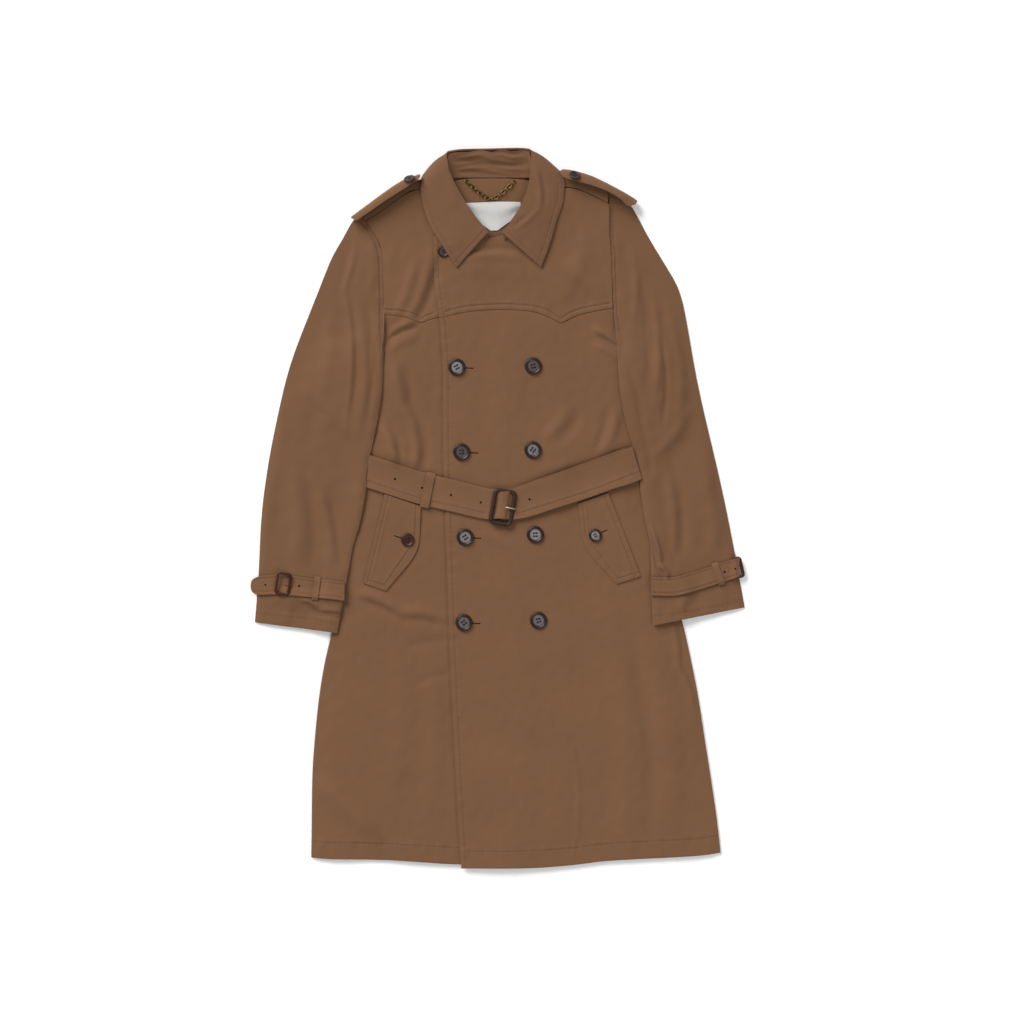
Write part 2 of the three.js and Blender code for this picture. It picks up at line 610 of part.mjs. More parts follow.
// Collar, from the right front end round the back of the neck to the left front end.
// The stand rises from the neck seam to the roll, the leaf falls from the roll to its edge.
const COLLAR = [
  { neckX: -15.5, neckY: 415.4, neckZ: 11.8, rollX: -13.2, rollY: 427, rollZ: 14, back: 0, midZ: 18.0, edgeX: -62.9, edgeY: 372, edgeZ: 12.6 },
  { neckX: -35.6, neckY: 427.8, neckZ: 11.0, rollX: -30.4, rollY: 447.3, rollZ: 14.5, back: 0, midZ: 19.5, edgeX: -81.4, edgeY: 401.4, edgeZ: 15.8 },
  { neckX: -57.4, neckY: 455.7, neckZ: 10.4, rollX: -50.4, rollY: 475.5, rollZ: 15, back: 0, midZ: 20, edgeX: -103.1, edgeY: 437.1, edgeZ: 13.4 },
  { neckX: -74.4, neckY: 488.2, neckZ: 11.2, rollX: -67.4, rollY: 506.9, rollZ: 15.5, back: 0, midZ: 20, edgeX: -114.7, edgeY: 471.2, edgeZ: 12.2 },
  { neckX: -78.3, neckY: 509.5, neckZ: 10.4, rollX: -75.5, rollY: 530.1, rollZ: 16, back: 0, midZ: 20, edgeX: -118.4, edgeY: 497.6, edgeZ: 12.4 },
  { neckX: -66.0, neckY: 512.2, neckZ: 6.6, rollX: -75.2, rollY: 549.5, rollZ: 15.5, back: 0.45, midZ: 12, edgeX: -111.6, edgeY: 520, edgeZ: 2.4 },
  { neckX: -48.1, neckY: 512.6, neckZ: 4.5, rollX: -54.2, rollY: 554.6, rollZ: 15, back: 1, midZ: 0.4, edgeX: -79, edgeY: 489.8, edgeZ: 1.2 },
  { neckX: -9.3, neckY: 512.6, neckZ: 4.5, rollX: -9.3, rollY: 555.6, rollZ: 14.5, back: 1, midZ: 0.4, edgeX: -9.3, edgeY: 482.1, edgeZ: 1.2 },
  { neckX: 29.4, neckY: 512.6, neckZ: 4.5, rollX: 32.6, rollY: 556.6, rollZ: 15, back: 1, midZ: 0.4, edgeX: 60.5, edgeY: 489.8, edgeZ: 1.2 },
  { neckX: 46, neckY: 512.2, neckZ: 6.6, rollX: 49.6, rollY: 554.2, rollZ: 15.5, back: 0.45, midZ: 12, edgeX: 93, edgeY: 526.2, edgeZ: 2.4 },
  { neckX: 60.5, neckY: 509.5, neckZ: 10.4, rollX: 52.4, rollY: 531.6, rollZ: 16, back: 0, midZ: 20.5, edgeX: 104.2, edgeY: 502.2, edgeZ: 13.4 },
  { neckX: 68.2, neckY: 489.4, neckZ: 13.0, rollX: 49.6, rollY: 502.2, rollZ: 16, back: 0, midZ: 20.5, edgeX: 102.3, edgeY: 477.4, edgeZ: 13.4 },
  { neckX: 51.1, neckY: 458.8, neckZ: 12.6, rollX: 37.8, rollY: 469.7, rollZ: 15.5, back: 0, midZ: 20, edgeX: 91.5, edgeY: 443.3, edgeZ: 12.8 },
  { neckX: 27.9, neckY: 434, neckZ: 12.2, rollX: 21.7, rollY: 444.4, rollZ: 15, back: 0, midZ: 19.5, edgeX: 80.6, edgeY: 406.1, edgeZ: 12.8 },
  { neckX: 10.8, neckY: 415.4, neckZ: 12.0, rollX: 7.8, rollY: 426.2, rollZ: 14.5, back: 0, midZ: 18.5, edgeX: 67.9, edgeY: 373.1, edgeZ: 12.6 },
];
const STAND_WALL = 1.8;
const LEAF_WALL = 2.2;
const collar = columns(numbered(COLLAR), "at", Object.keys(COLLAR[0]));
add(
  "collar_stand",
  curvedWall(
    3,
    34,
    (u, v) => {
      const swell = 1.4 * Math.sin(Math.PI * v);
      return [
        mix(collar.neckX(u), collar.rollX(u), v),
        mix(collar.neckY(u), collar.rollY(u), v),
        mix(collar.neckZ(u), collar.rollZ(u), v) - swell * collar.back(u),
      ];
    },
    STAND_WALL,
  ),
  "lining",
);
add(
  "collar_leaf",
  curvedWall(
    6,
    48,
    (u, v) => {
      const back = collar.back(u),
        outward = collar.rollX(u) < 0 ? -1 : 1;
      const corner = 4 * back * (1 - back);
      const p0 = [
        collar.rollX(u) + 2.4 * corner * outward,
        collar.rollY(u) + 3.0 * Math.min(1, 1.6 * back),
        collar.rollZ(u) + 2.7 * (1 - back) - 0.6 * back,
      ];
      const p2 = [collar.edgeX(u), collar.edgeY(u), collar.edgeZ(u)];
      const p1 = [
        mix((p0[0] + p2[0]) / 2 + 6 * corner * outward, p0[0], back * back),
        mix((p0[1] + p2[1]) / 2 + 5 * corner, p0[1] + 2.5, back * back),
        collar.midZ(u),
      ];
      const w = 1 - v;
      return p0.map((p, k) => w * w * p + 2 * w * v * p1[k] + v * v * p2[k]);
    },
    LEAF_WALL,
  ),
  "collar",
);

// Shoulder straps, each standing on its shoulder fold with the front edge lifted
const STRAP_RIGHT = [
  { frontX: -217.6, frontY: 443.3, farX: -228.4, farY: 451.5, frontZ: 21 },
  { frontX: -190.0, frontY: 462.3, farX: -200.6, farY: 472.4, frontZ: 23 },
  { frontX: -160.0, frontY: 482.7, farX: -170.0, farY: 495.0, frontZ: 24 },
  { frontX: -138.0, frontY: 497.8, farX: -147.0, farY: 510.4, frontZ: 24 },
  { frontX: -128.0, frontY: 505.0, farX: -131.5, farY: 514.4, frontZ: 23 },
  { frontX: -124.2, frontY: 510.0, farX: -124.8, farY: 515.4, frontZ: 21 },
];
const STRAP_LEFT = [
  { frontX: 214.0, frontY: 469.8, farX: 218.0, farY: 475.8, frontZ: 18 },
  { frontX: 203.1, frontY: 466.0, farX: 210.7, farY: 483.2, frontZ: 20 },
  { frontX: 192.2, frontY: 476.7, farX: 200.0, farY: 488.6, frontZ: 22 },
  { frontX: 169.4, frontY: 489.8, farX: 175.3, farY: 501.8, frontZ: 23 },
  { frontX: 139.0, frontY: 500.6, farX: 142.0, farY: 518.2, frontZ: 24 },
  { frontX: 121.0, frontY: 505.6, farX: 121.0, farY: 524.3, frontZ: 24 },
  { frontX: 112.0, frontY: 510.0, farX: 111.5, farY: 524.6, frontZ: 23 },
  { frontX: 108.6, frontY: 515.0, farX: 108.4, farY: 520.6, frontZ: 21 },
];
const SHOULDER_STRAP_WALL = 2.2;
function strapPoint(table, tuck) {
  const f = columns(numbered(table), "at", Object.keys(table[0]));
  return (u, v) => {
    const w = 1 - v,
      high = f.frontZ(u);
    const bezier = (a, b, c) => w * w * a + 2 * w * v * b + v * v * c;
    return [
      bezier(f.frontX(u), f.farX(u), mix(f.farX(u), f.frontX(u), tuck)),
      bezier(f.frontY(u), f.farY(u), mix(f.farY(u), f.frontY(u), tuck)),
      bezier(high, high + 1, 4.6),
    ];
  };
}
add("shoulder_strap_right", curvedWall(4, 14, strapPoint(STRAP_RIGHT, 0.24), SHOULDER_STRAP_WALL), "cloth");
add("shoulder_strap_left", curvedWall(4, 16, strapPoint(STRAP_LEFT, 0.14), SHOULDER_STRAP_WALL), "cloth");

// Highest body cloth around a place, for pieces that lie on it
function above(x, y, reach = 6) {
  let high = 0;
  for (const dx of [-reach, 0, reach])
    for (const dy of [-reach, 0, reach]) high = Math.max(high, bodyTop(x + dx, y + dy));
  return high;
}

// Slanted pocket welts below the belt
const WELT_RIGHT = [
  { at: 0, outX: -207.7, outY: -116.2, inX: -172.1, inY: -128.7 },
  { at: 0.56, outX: -188.5, outY: -38.0, inX: -120.8, inY: -55 },
  { at: 1, outX: -173.9, outY: 22.0, inX: -118.0, inY: 2.4 },
];
const WELT_LEFT = [
  { at: 0, outX: 222.6, outY: -106, inX: 185.2, inY: -117.8 },
  { at: 0.52, outX: 196.0, outY: -36, inX: 132.6, inY: -50 },
  { at: 1, outX: 172.1, outY: 23.6, inX: 125.5, inY: 6.6 },
];
const WELT_WALL = 1.7;
const weltFloor = (x, y) => above(x, y, 4) + 0.35;
for (const [name, table] of [
  ["pocket_welt_right", WELT_RIGHT],
  ["pocket_welt_left", WELT_LEFT],
]) {
  const f = columns(table, "at", ["outX", "outY", "inX", "inY"]);
  const plan = (u, v) => [mix(f.outX(v), f.inX(v), u), mix(f.outY(v), f.inY(v), u)];
  add(name, laidWall(9, 5, plan, weltFloor, WELT_WALL), "cloth");
}

// Belt: the buckle end lies below the tongue, which runs through the buckle
const BUCKLE_X = 9;
const beltFloor = (x, y) => above(x, y, 9) + 0.6;
const tongueFloor = (x, y) => beltFloor(x, y) + (BELT_WALL + 0.5) * ease(-26, -6, x);
const beltPlan = (from, to) => (u, v) => {
  const x = mix(from, to, u);
  const y = beltY(x) + (2 * v - 1) * beltHalf(x);
  const slope = (beltY(x + 2) - beltY(x - 2)) / 4;
  return [x - slope * (y - beltY(x)) * 0.8, y];
};
add("belt_tongue", laidWall(3, 34, beltPlan(-199, 213), tongueFloor, BELT_WALL), "belt");
add("belt_buckle_end", laidWall(2, 18, beltPlan(2, 208), beltFloor, BELT_WALL - 0.2), "belt");

// A strip that crosses over another piece and drops to the cloth at both ends
function crossing(centre, angle, width, reach, half, over, under) {
  const c = Math.cos(angle),
    n = Math.sin(angle);
  return laidWall(
    8,
    2,
    (u, v) => {
      const a = (u - 0.5) * width,
        b = (2 * v - 1) * reach;
      return [centre[0] + c * a - n * b, centre[1] + n * a + c * b];
    },
    (x, y) => {
      const b = Math.abs(-n * (x - centre[0]) + c * (y - centre[1]));
      return mix(over(x, y), under(x, y), ease(half + 1.5, reach - 1, b));
    },
    KEEPER_WALL,
  );
}
add(
  "belt_loop",
  crossing(
    [-107.5, 28],
    -0.2,
    14,
    33,
    26,
    (x, y) => tongueFloor(x, Math.min(y, 80)) + BELT_WALL + 0.9,
    (x, y) => above(x, y, 3) + (y < 20 ? 2.8 : 0.6),
  ),
  "cloth",
);

// A square frame with rounded corners and an open middle
function frame(width, height, bar, thick) {
  const rounded = (path, w, h, r) => {
    path.moveTo(-w + r, -h);
    path.lineTo(w - r, -h).quadraticCurveTo(w, -h, w, -h + r);
    path.lineTo(w, h - r).quadraticCurveTo(w, h, w - r, h);
    path.lineTo(-w + r, h).quadraticCurveTo(-w, h, -w, h - r);
    path.lineTo(-w, -h + r).quadraticCurveTo(-w, -h, -w + r, -h);
    return path;
  };
  const shape = rounded(new THREE.Shape(), width / 2, height / 2, bar * 0.7);
  shape.holes.push(rounded(new THREE.Path(), width / 2 - bar, height / 2 - bar, bar * 0.3));
  return new THREE.ExtrudeGeometry(shape, { depth: thick, bevelEnabled: false, curveSegments: 4 });
}
function rod(length, width, thick) {
  const shape = new THREE.Shape();
  shape.moveTo(0, -width / 2);
  shape.lineTo(length - width, -width / 2).lineTo(length, -width / 5);
  shape.lineTo(length, width / 5).lineTo(length - width, width / 2).lineTo(0, width / 2);
  return new THREE.ExtrudeGeometry(shape, { depth: thick, bevelEnabled: false });
}
const placed = (geometry, x, y, z, turn = 0, tilt = 0) =>
  geometry.rotateZ(turn).rotateY(tilt).translate(x, y, z);

const underBuckle = [-20, -10, 0, 10, 20, 30, 40].flatMap((x) =>
  [-22, -11, 0, 11, 22].map((y) => tongueFloor(x, beltY(x) + y)),
);
const buckleZ = Math.max(...underBuckle) + BELT_WALL + 0.5;
add("belt_buckle", placed(frame(32, 57, 6, 4), BUCKLE_X, 1, buckleZ, -0.17), "buckle", 0, 0.4);
add("belt_prong", placed(rod(33, 4.4, 2), BUCKLE_X - 15, 2.5, buckleZ + 4.4, -0.14), "brass", 0.8, 0.4);

// Height of a sleeve's upper face at a place
function sleeveTop(table, edge, side) {
  const plan = sleevePlan(table, (y) => edge(y) + 2 * side);
  const floor = sleeveFloorOver(edge, side);
  return (x, y) => {
    let s = 0.85,
      t = 0.5;
    for (let i = 0; i < 14; i++) {
      const [, py] = plan(t, s);
      s = Math.min(1, Math.max(0.3, s + (py - y) / 640));
      const a = plan(0, s)[0],
        b = plan(1, s)[0];
      t = Math.min(1, Math.max(0, (x - a) / (b - a)));
    }
    const gap = (SLEEVE_GAP + foldHeight(SLEEVE_FOLDS, x, y)) * Math.sin(Math.PI * t) ** 0.6;
    return floor(x, y) + 2 * SLEEVE_CLOTH + Math.max(0.4, gap);
  };
}
// Cuff straps with their loops and frames
const CUFF_STRAP_RIGHT = [
  { x: -382, y: -121, half: 6, drop: 1.6 },
  { x: -377, y: -121, half: 13.4, drop: 0.8 },
  { x: -362, y: -119.6, half: 15, drop: 0 },
  { x: -341, y: -118.6, half: 15.2, drop: 0 },
  { x: -314, y: -120.4, half: 15.2, drop: 0 },
  { x: -288, y: -123.7, half: 14.5, drop: 0 },
  { x: -260, y: -126.0, half: 14.5, drop: 0 },
  { x: -236, y: -129.0, half: 14.5, drop: 1 },
];
const CUFF_STRAP_LEFT = [
  { x: 238.6, y: -121.0, half: 14.4, drop: 1 },
  { x: 270.5, y: -121.8, half: 14.4, drop: 0 },
  { x: 296, y: -116.4, half: 15, drop: 0 },
  { x: 321.8, y: -109, half: 15.2, drop: 0 },
  { x: 347.5, y: -100.6, half: 15.2, drop: 0 },
  { x: 366, y: -94.6, half: 15, drop: 0.4 },
  { x: 376.5, y: -91.5, half: 14.6, drop: 2.0 },
];
function cuff(side, table, edge, sleeveTable, from, to) {
  const f = columns(table, "x", ["y", "half", "drop"]);
  const top = sleeveTop(sleeveTable, edge, side);
  const strapFloor = (x, y) =>
    Math.max(top(x - 5, y), top(x, y), top(x + 5, y), top(x, y + 5), top(x, y - 5)) + 1.2 - f.drop(x);
  const plan = (u, v) => {
    const x = mix(from, to, u);
    return [x, f.y(x) + (2 * v - 1) * f.half(x)];
  };
  return { f, top, strapFloor, wall: laidWall(2, 18, plan, strapFloor, CUFF_STRAP_WALL) };
}
const cuffRight = cuff(-1, CUFF_STRAP_RIGHT, rightEdge, SLEEVE_RIGHT, -382, -236);
const cuffLeft = cuff(1, CUFF_STRAP_LEFT, leftEdge, SLEEVE_LEFT, 238.6, 376.5);
add("cuff_strap_right", cuffRight.wall, "cloth");
add("cuff_strap_left", cuffLeft.wall, "cloth");
const cuffLoop = (side, x, angle) =>
  crossing(
    [x, side.f.y(x)],
    angle,
    10,
    22.5,
    16,
    (px, py) => side.strapFloor(px, py) + CUFF_STRAP_WALL + 0.6,
    (px, py) => side.top(px, py) + 1.2,
  );
add("cuff_loop_right", cuffLoop(cuffRight, -280, -0.12), "cloth");
add("cuff_loop_left", cuffLoop(cuffLeft, 343, 0.33), "cloth");
const cuffZ = cuffRight.strapFloor(-331, -117) + CUFF_STRAP_WALL + 0.9;
add("cuff_buckle_right", placed(frame(20, 33, 4.6, 3.2), -331.4, -117.4, cuffZ, -0.1), "cuffBuckle", 0, 0.4);
add("cuff_prong_right", placed(rod(20, 3, 1.4), -341, -117.0, cuffZ + 3.6, -0.1), "brass", 0.8, 0.4);
add("cuff_buckle_left", placed(frame(20, 33, 4.6, 3.2), 374.4, -91.6, 8.4, 0.22, 0.75), "cuffBuckle", 0, 0.4);

// A round button with a raised rim, set on the cloth and tilted with it
function buttonShape(radius, thick) {
  const profile = [
    [radius * 0.82, 0],
    [radius, thick * 0.4],
    [radius * 0.93, thick],
    [radius * 0.66, thick * 0.72],
  ];
  const sides = 14,
    position = [0, 0, 0],
    index = [];
  for (const [r, z] of profile)
    for (let k = 0; k < sides; k++) {
      const a = (2 * Math.PI * k) / sides;
      position.push(r * Math.cos(a), r * Math.sin(a), z);
    }
  position.push(0, 0, thick * 0.66);
  const id = (ring, k) => 1 + ring * sides + (k % sides),
    lastRing = profile.length - 1,
    centre = 1 + profile.length * sides;
  for (let k = 0; k < sides; k++) {
    index.push(0, id(0, k + 1), id(0, k));
    for (let r = 0; r < lastRing; r++)
      index.push(id(r, k), id(r, k + 1), id(r + 1, k + 1), id(r, k), id(r + 1, k + 1), id(r + 1, k));
    index.push(id(lastRing, k), id(lastRing, k + 1), centre);
  }
  return solid(position, index);
}
function laidButton(x, y, radius, thick, top) {
  const slopeX = (top(x + radius, y) - top(x - radius, y)) / (2 * radius),
    slopeY = (top(x, y + radius) - top(x, y - radius)) / (2 * radius);
  let lift = -Infinity;
  for (let k = 0; k < 12; k++)
    for (const r of [0, 0.5, 1]) {
      const dx = r * radius * Math.cos(k * 0.5236),
        dy = r * radius * Math.sin(k * 0.5236);
      lift = Math.max(lift, top(x + dx, y + dy) - slopeX * dx - slopeY * dy);
    }
  const shape = buttonShape(radius, thick);
  const normal = new THREE.Vector3(-slopeX, -slopeY, 1).normalize();
  shape.applyQuaternion(new THREE.Quaternion().setFromUnitVectors(new THREE.Vector3(0, 0, 1), normal));
  return shape.translate(x, y, lift + 0.75);
}
const MAIN_BUTTONS = [
  { name: "button_top_right", x: -62.0, y: 218.1 },
  { name: "button_top_left", x: 56.1, y: 219.8 },
  { name: "button_waist_right", x: -54.7, y: 86.8 },
  { name: "button_waist_left", x: 55.8, y: 89.9 },
  { name: "button_hip_right", x: -49.1, y: -45.3 },
  { name: "button_hip_left", x: 59.4, y: -41.2 },
  { name: "button_low_right", x: -51.1, y: -177.5 },
  { name: "button_low_left", x: 64.3, y: -174.1 },
];
for (const b of MAIN_BUTTONS)
  add(b.name, laidButton(b.x, b.y, BUTTON_RADIUS, 3.6, overTop), "button", 0, 0.35);
add(
  "button_neck",
  laidButton(-82.9, 397.5, 9, 2.4, (x, y) => overTop(x, y) + 0.5),
  "button",
  0,
  0.35,
);
const weltTop = (x, y) => weltFloor(x, y) + WELT_WALL;
add("pocket_button_right", laidButton(-138.7, -49.3, POCKET_BUTTON_RADIUS, 3, weltTop), "redButton", 0, 0.35);
add("pocket_button_left", laidButton(152.3, -42.5, POCKET_BUTTON_RADIUS, 3, weltTop), "button", 0, 0.35);

// Buttons on the shoulder straps, turned with the strap
function strapButton(table, tuck, u, v, side) {
  const point = strapPoint(table, tuck);
  const e = 1e-3;
  const across = new THREE.Vector3(...point(u + e, v)).sub(new THREE.Vector3(...point(u - e, v)));
  const along = new THREE.Vector3(...point(u, v + e)).sub(new THREE.Vector3(...point(u, v - e)));
  const normal = across.cross(along).normalize().multiplyScalar(side);
  const shape = buttonShape(9.2, 2.8);
  shape.applyQuaternion(new THREE.Quaternion().setFromUnitVectors(new THREE.Vector3(0, 0, 1), normal));
  const [x, y, z] = point(u, v);
  const out = normal.clone().multiplyScalar(SHOULDER_STRAP_WALL / 2 + 0.4);
  return shape.translate(x + out.x, y + out.y, z + out.z);
}
add("shoulder_button_right", strapButton(STRAP_RIGHT, 0.24, 0.72, 0.42, 1), "button", 0, 0.35);
add("shoulder_button_left", strapButton(STRAP_LEFT, 0.14, 0.73, 0.42, -1), "button", 0, 0.35);

// Inside the neck: the hanger chain and a bare label
const neckTop = (x, y) => backFloor(x, y) + CLOTH;
add(
  "hanger_chain",
  laidWall(
    1,
    20,
    (u, v) => {
      const x = mix(-46, 29, u),
        bow = 1 - Math.abs(2 * u - 1) ** 1.6;
      return [x, 509.5 - 31 * bow + (v - 0.5) * 3.4, 0];
    },
    (x, y) => neckTop(x, y) + 0.5,
    1.8,
  ),
  "brass",
  0.8,
  0.45,
);
add(
  "neck_label",
  laidWall(
    6,
    8,
    (u, v) => [mix(-49.6, 36.4, u) + 2 * (1 - v), mix(424, 473.2, v) + 3.7 * u],
    (x, y) => neckTop(x, y + 15) + 0.35,
    0.8,
  ),
  "label",
);

export default group;
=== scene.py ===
"""A belted double-breasted coat, laid flat on its back on a pale floor and seen from straight above."""

import json
import math
import random

import bpy
import numpy as np
from mathutils import Matrix, Vector

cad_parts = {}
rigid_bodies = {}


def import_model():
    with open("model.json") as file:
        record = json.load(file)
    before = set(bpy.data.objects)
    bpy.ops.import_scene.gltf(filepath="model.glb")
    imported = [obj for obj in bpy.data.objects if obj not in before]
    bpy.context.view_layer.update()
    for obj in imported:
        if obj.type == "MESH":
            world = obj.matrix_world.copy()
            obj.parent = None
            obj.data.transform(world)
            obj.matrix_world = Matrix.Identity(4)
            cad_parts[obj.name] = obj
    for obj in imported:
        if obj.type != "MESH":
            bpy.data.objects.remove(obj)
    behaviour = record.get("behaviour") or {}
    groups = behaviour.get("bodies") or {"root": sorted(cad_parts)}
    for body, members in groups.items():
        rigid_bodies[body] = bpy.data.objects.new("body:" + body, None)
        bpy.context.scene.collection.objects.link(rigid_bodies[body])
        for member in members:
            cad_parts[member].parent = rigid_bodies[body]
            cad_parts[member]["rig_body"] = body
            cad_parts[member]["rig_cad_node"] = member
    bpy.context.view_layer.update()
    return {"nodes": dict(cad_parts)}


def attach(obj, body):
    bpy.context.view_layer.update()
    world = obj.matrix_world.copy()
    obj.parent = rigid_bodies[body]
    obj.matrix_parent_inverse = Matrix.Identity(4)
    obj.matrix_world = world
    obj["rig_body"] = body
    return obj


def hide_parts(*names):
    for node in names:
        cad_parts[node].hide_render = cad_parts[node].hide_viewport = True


bl_info = {
    "name": "Laid trench coat",
    "version": (1, 0, 0),
    "blender": (4, 5, 0),
    "location": "View3D > Sidebar > Coat",
    "description": "Dresses a laid double-breasted coat: cloth, seams, buttons, belt and cuffs",
    "category": "Object",
}

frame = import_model()
MM = 0.001
made = {}


# Settings that a user would change
class CoatSizes(bpy.types.PropertyGroup):
    """Sizes of the coat's finer parts"""

    stitch_length: bpy.props.FloatProperty(
        name="Stitch length", description="Length of one stitch", default=0.0034, unit="LENGTH"
    )
    stitch_gap: bpy.props.FloatProperty(
        name="Stitch gap", description="Space between two stitches", default=0.0010, unit="LENGTH"
    )
    thread_radius: bpy.props.FloatProperty(
        name="Thread radius", description="Half the thread's width", default=0.00036, unit="LENGTH"
    )
    seam_sink: bpy.props.FloatProperty(
        name="Seam sink", description="How deep a stitched line sinks", default=0.00060, unit="LENGTH"
    )
    pucker: bpy.props.FloatProperty(
        name="Pucker", description="Height of the puckers beside a stitched line", default=0.00020,
        unit="LENGTH",
    )
    fold_scale: bpy.props.FloatProperty(
        name="Fold strength", description="How strong the soft folds are", default=1.95,
        subtype="FACTOR",
    )


class CoatColours(bpy.types.PropertyGroup):
    """Colours of the coat's materials, as the screen shows them"""

    cloth: bpy.props.FloatVectorProperty(
        name="Cloth", description="Main cloth", default=(0.424, 0.296, 0.199), subtype="COLOR_GAMMA", size=3
    )
    collar: bpy.props.FloatVectorProperty(
        name="Collar", description="Collar cloth", default=(0.416, 0.290, 0.200), subtype="COLOR_GAMMA", size=3
    )
    inner: bpy.props.FloatVectorProperty(
        name="Inner cloth", description="Inside of the neck", default=(0.420, 0.295, 0.202),
        subtype="COLOR_GAMMA", size=3,
    )
    belt: bpy.props.FloatVectorProperty(
        name="Belt", description="Belt cloth", default=(0.428, 0.300, 0.203), subtype="COLOR_GAMMA", size=3
    )
    thread: bpy.props.FloatVectorProperty(
        name="Thread", description="Stitching thread", default=(0.372, 0.256, 0.171), subtype="COLOR_GAMMA", size=3
    )
    button: bpy.props.FloatVectorProperty(
        name="Button", description="Horn buttons", default=(0.135, 0.090, 0.065), subtype="COLOR_GAMMA", size=3
    )
    red_button: bpy.props.FloatVectorProperty(
        name="Reddish button", description="One pocket button", default=(0.205, 0.085, 0.050),
        subtype="COLOR_GAMMA", size=3,
    )
    leather: bpy.props.FloatVectorProperty(
        name="Buckle leather", description="Covered belt frame", default=(0.170, 0.100, 0.062),
        subtype="COLOR_GAMMA", size=3,
    )
    cuff_leather: bpy.props.FloatVectorProperty(
        name="Cuff leather", description="Covered cuff frames", default=(0.215, 0.080, 0.045),
        subtype="COLOR_GAMMA", size=3,
    )
    brass: bpy.props.FloatVectorProperty(
        name="Brass", description="Prongs and chain", default=(0.68, 0.62, 0.50), subtype="COLOR_GAMMA", size=3
    )
    label: bpy.props.FloatVectorProperty(
        name="Label", description="Woven label", default=(0.755, 0.75, 0.735), subtype="COLOR_GAMMA", size=3
    )
    floor: bpy.props.FloatVectorProperty(
        name="Floor", description="Pale floor", default=(0.985, 0.985, 0.985), subtype="COLOR_GAMMA", size=3
    )


def sizes():
    return bpy.context.scene.coat_sizes


def colour(name):
    """A colour setting as the linear colour that a shader wants."""
    shown = getattr(bpy.context.scene.coat_colours, name)
    linear = [c / 12.92 if c <= 0.04045 else ((c + 0.055) / 1.055) ** 2.4 for c in shown]
    return (*linear, 1.0)


# Shader maths as Python expressions
class Socket:
    """One node output that adds Math nodes when it is used in an expression."""

    def __init__(self, tree, out):
        self.tree, self.out = tree, out

    def maths(self, operation, *others):
        node = self.tree.nodes.new("ShaderNodeMath")
        node.operation = operation
        for slot_number, value in enumerate(others):
            if isinstance(value, Socket):
                self.tree.links.new(value.out, node.inputs[slot_number])
            else:
                node.inputs[slot_number].default_value = value
        return Socket(self.tree, node.outputs[0])

    def __add__(self, other):
        return self.maths("ADD", self, other)

    __radd__ = __add__

    def __sub__(self, other):
        return self.maths("SUBTRACT", self, other)

    def __rsub__(self, other):
        return self.maths("SUBTRACT", other, self)

    def __mul__(self, other):
        return self.maths("MULTIPLY", self, other)

    __rmul__ = __mul__

    def __truediv__(self, other):
        return self.maths("DIVIDE", self, other)

    def power(self, other):
        return self.maths("POWER", self, other)

    def clamp(self):
        return self.maths("MAXIMUM", self.maths("MINIMUM", self, 1.0), 0.0)


class Finish:
    """A material whose nodes are added through one method."""

    def __init__(self, name):
        self.material = bpy.data.materials.new(name)
        self.material.use_nodes = True
        self.tree = self.material.node_tree
        self.shader = self.tree.nodes["Principled BSDF"]

    def node(self, kind, settings=None, **values):
        made_node = self.tree.nodes.new("ShaderNode" + kind)
        for key, value in (settings or {}).items():
            setattr(made_node, key, value)
        for key, value in values.items():
            self.set(made_node.inputs[key.replace("_", " ")], value)
        return made_node

    def set(self, socket, value):
        if isinstance(value, Socket):
            self.tree.links.new(value.out, socket)
        elif isinstance(value, bpy.types.NodeSocket):
            self.tree.links.new(value, socket)
        else:
            socket.default_value = value

    def out(self, made_node, name):
        return Socket(self.tree, made_node.outputs[name])

    def place(self, scale=(1, 1, 1), turn=(0, 0, 0)):
        at = self.node("TexCoord")
        mapping = self.node("Mapping", Vector=at.outputs["Object"], Scale=scale, Rotation=turn)
        return mapping.outputs["Vector"]

    def blend(self, factor, first, second, mode="MIX"):
        mixer = self.node("Mix", {"data_type": "RGBA", "blend_type": mode})
        self.set(mixer.inputs[0], factor)
        self.set(mixer.inputs[6], first)
        self.set(mixer.inputs[7], second)
        return mixer.outputs[2]

    def bump(self, height, strength, distance, before=None):
        made_node = self.node("Bump", Height=height, Strength=strength, Distance=distance)
        if before is not None:
            self.tree.links.new(before, made_node.inputs["Normal"])
        return made_node.outputs["Normal"]

    def shade(self, **values):
        for key, value in values.items():
            self.set(self.shader.inputs[key.replace("_", " ")], value)
        return self.material


def darker(tone, by):
    return (tone[0] * by, tone[1] * by, tone[2] * by, 1.0)


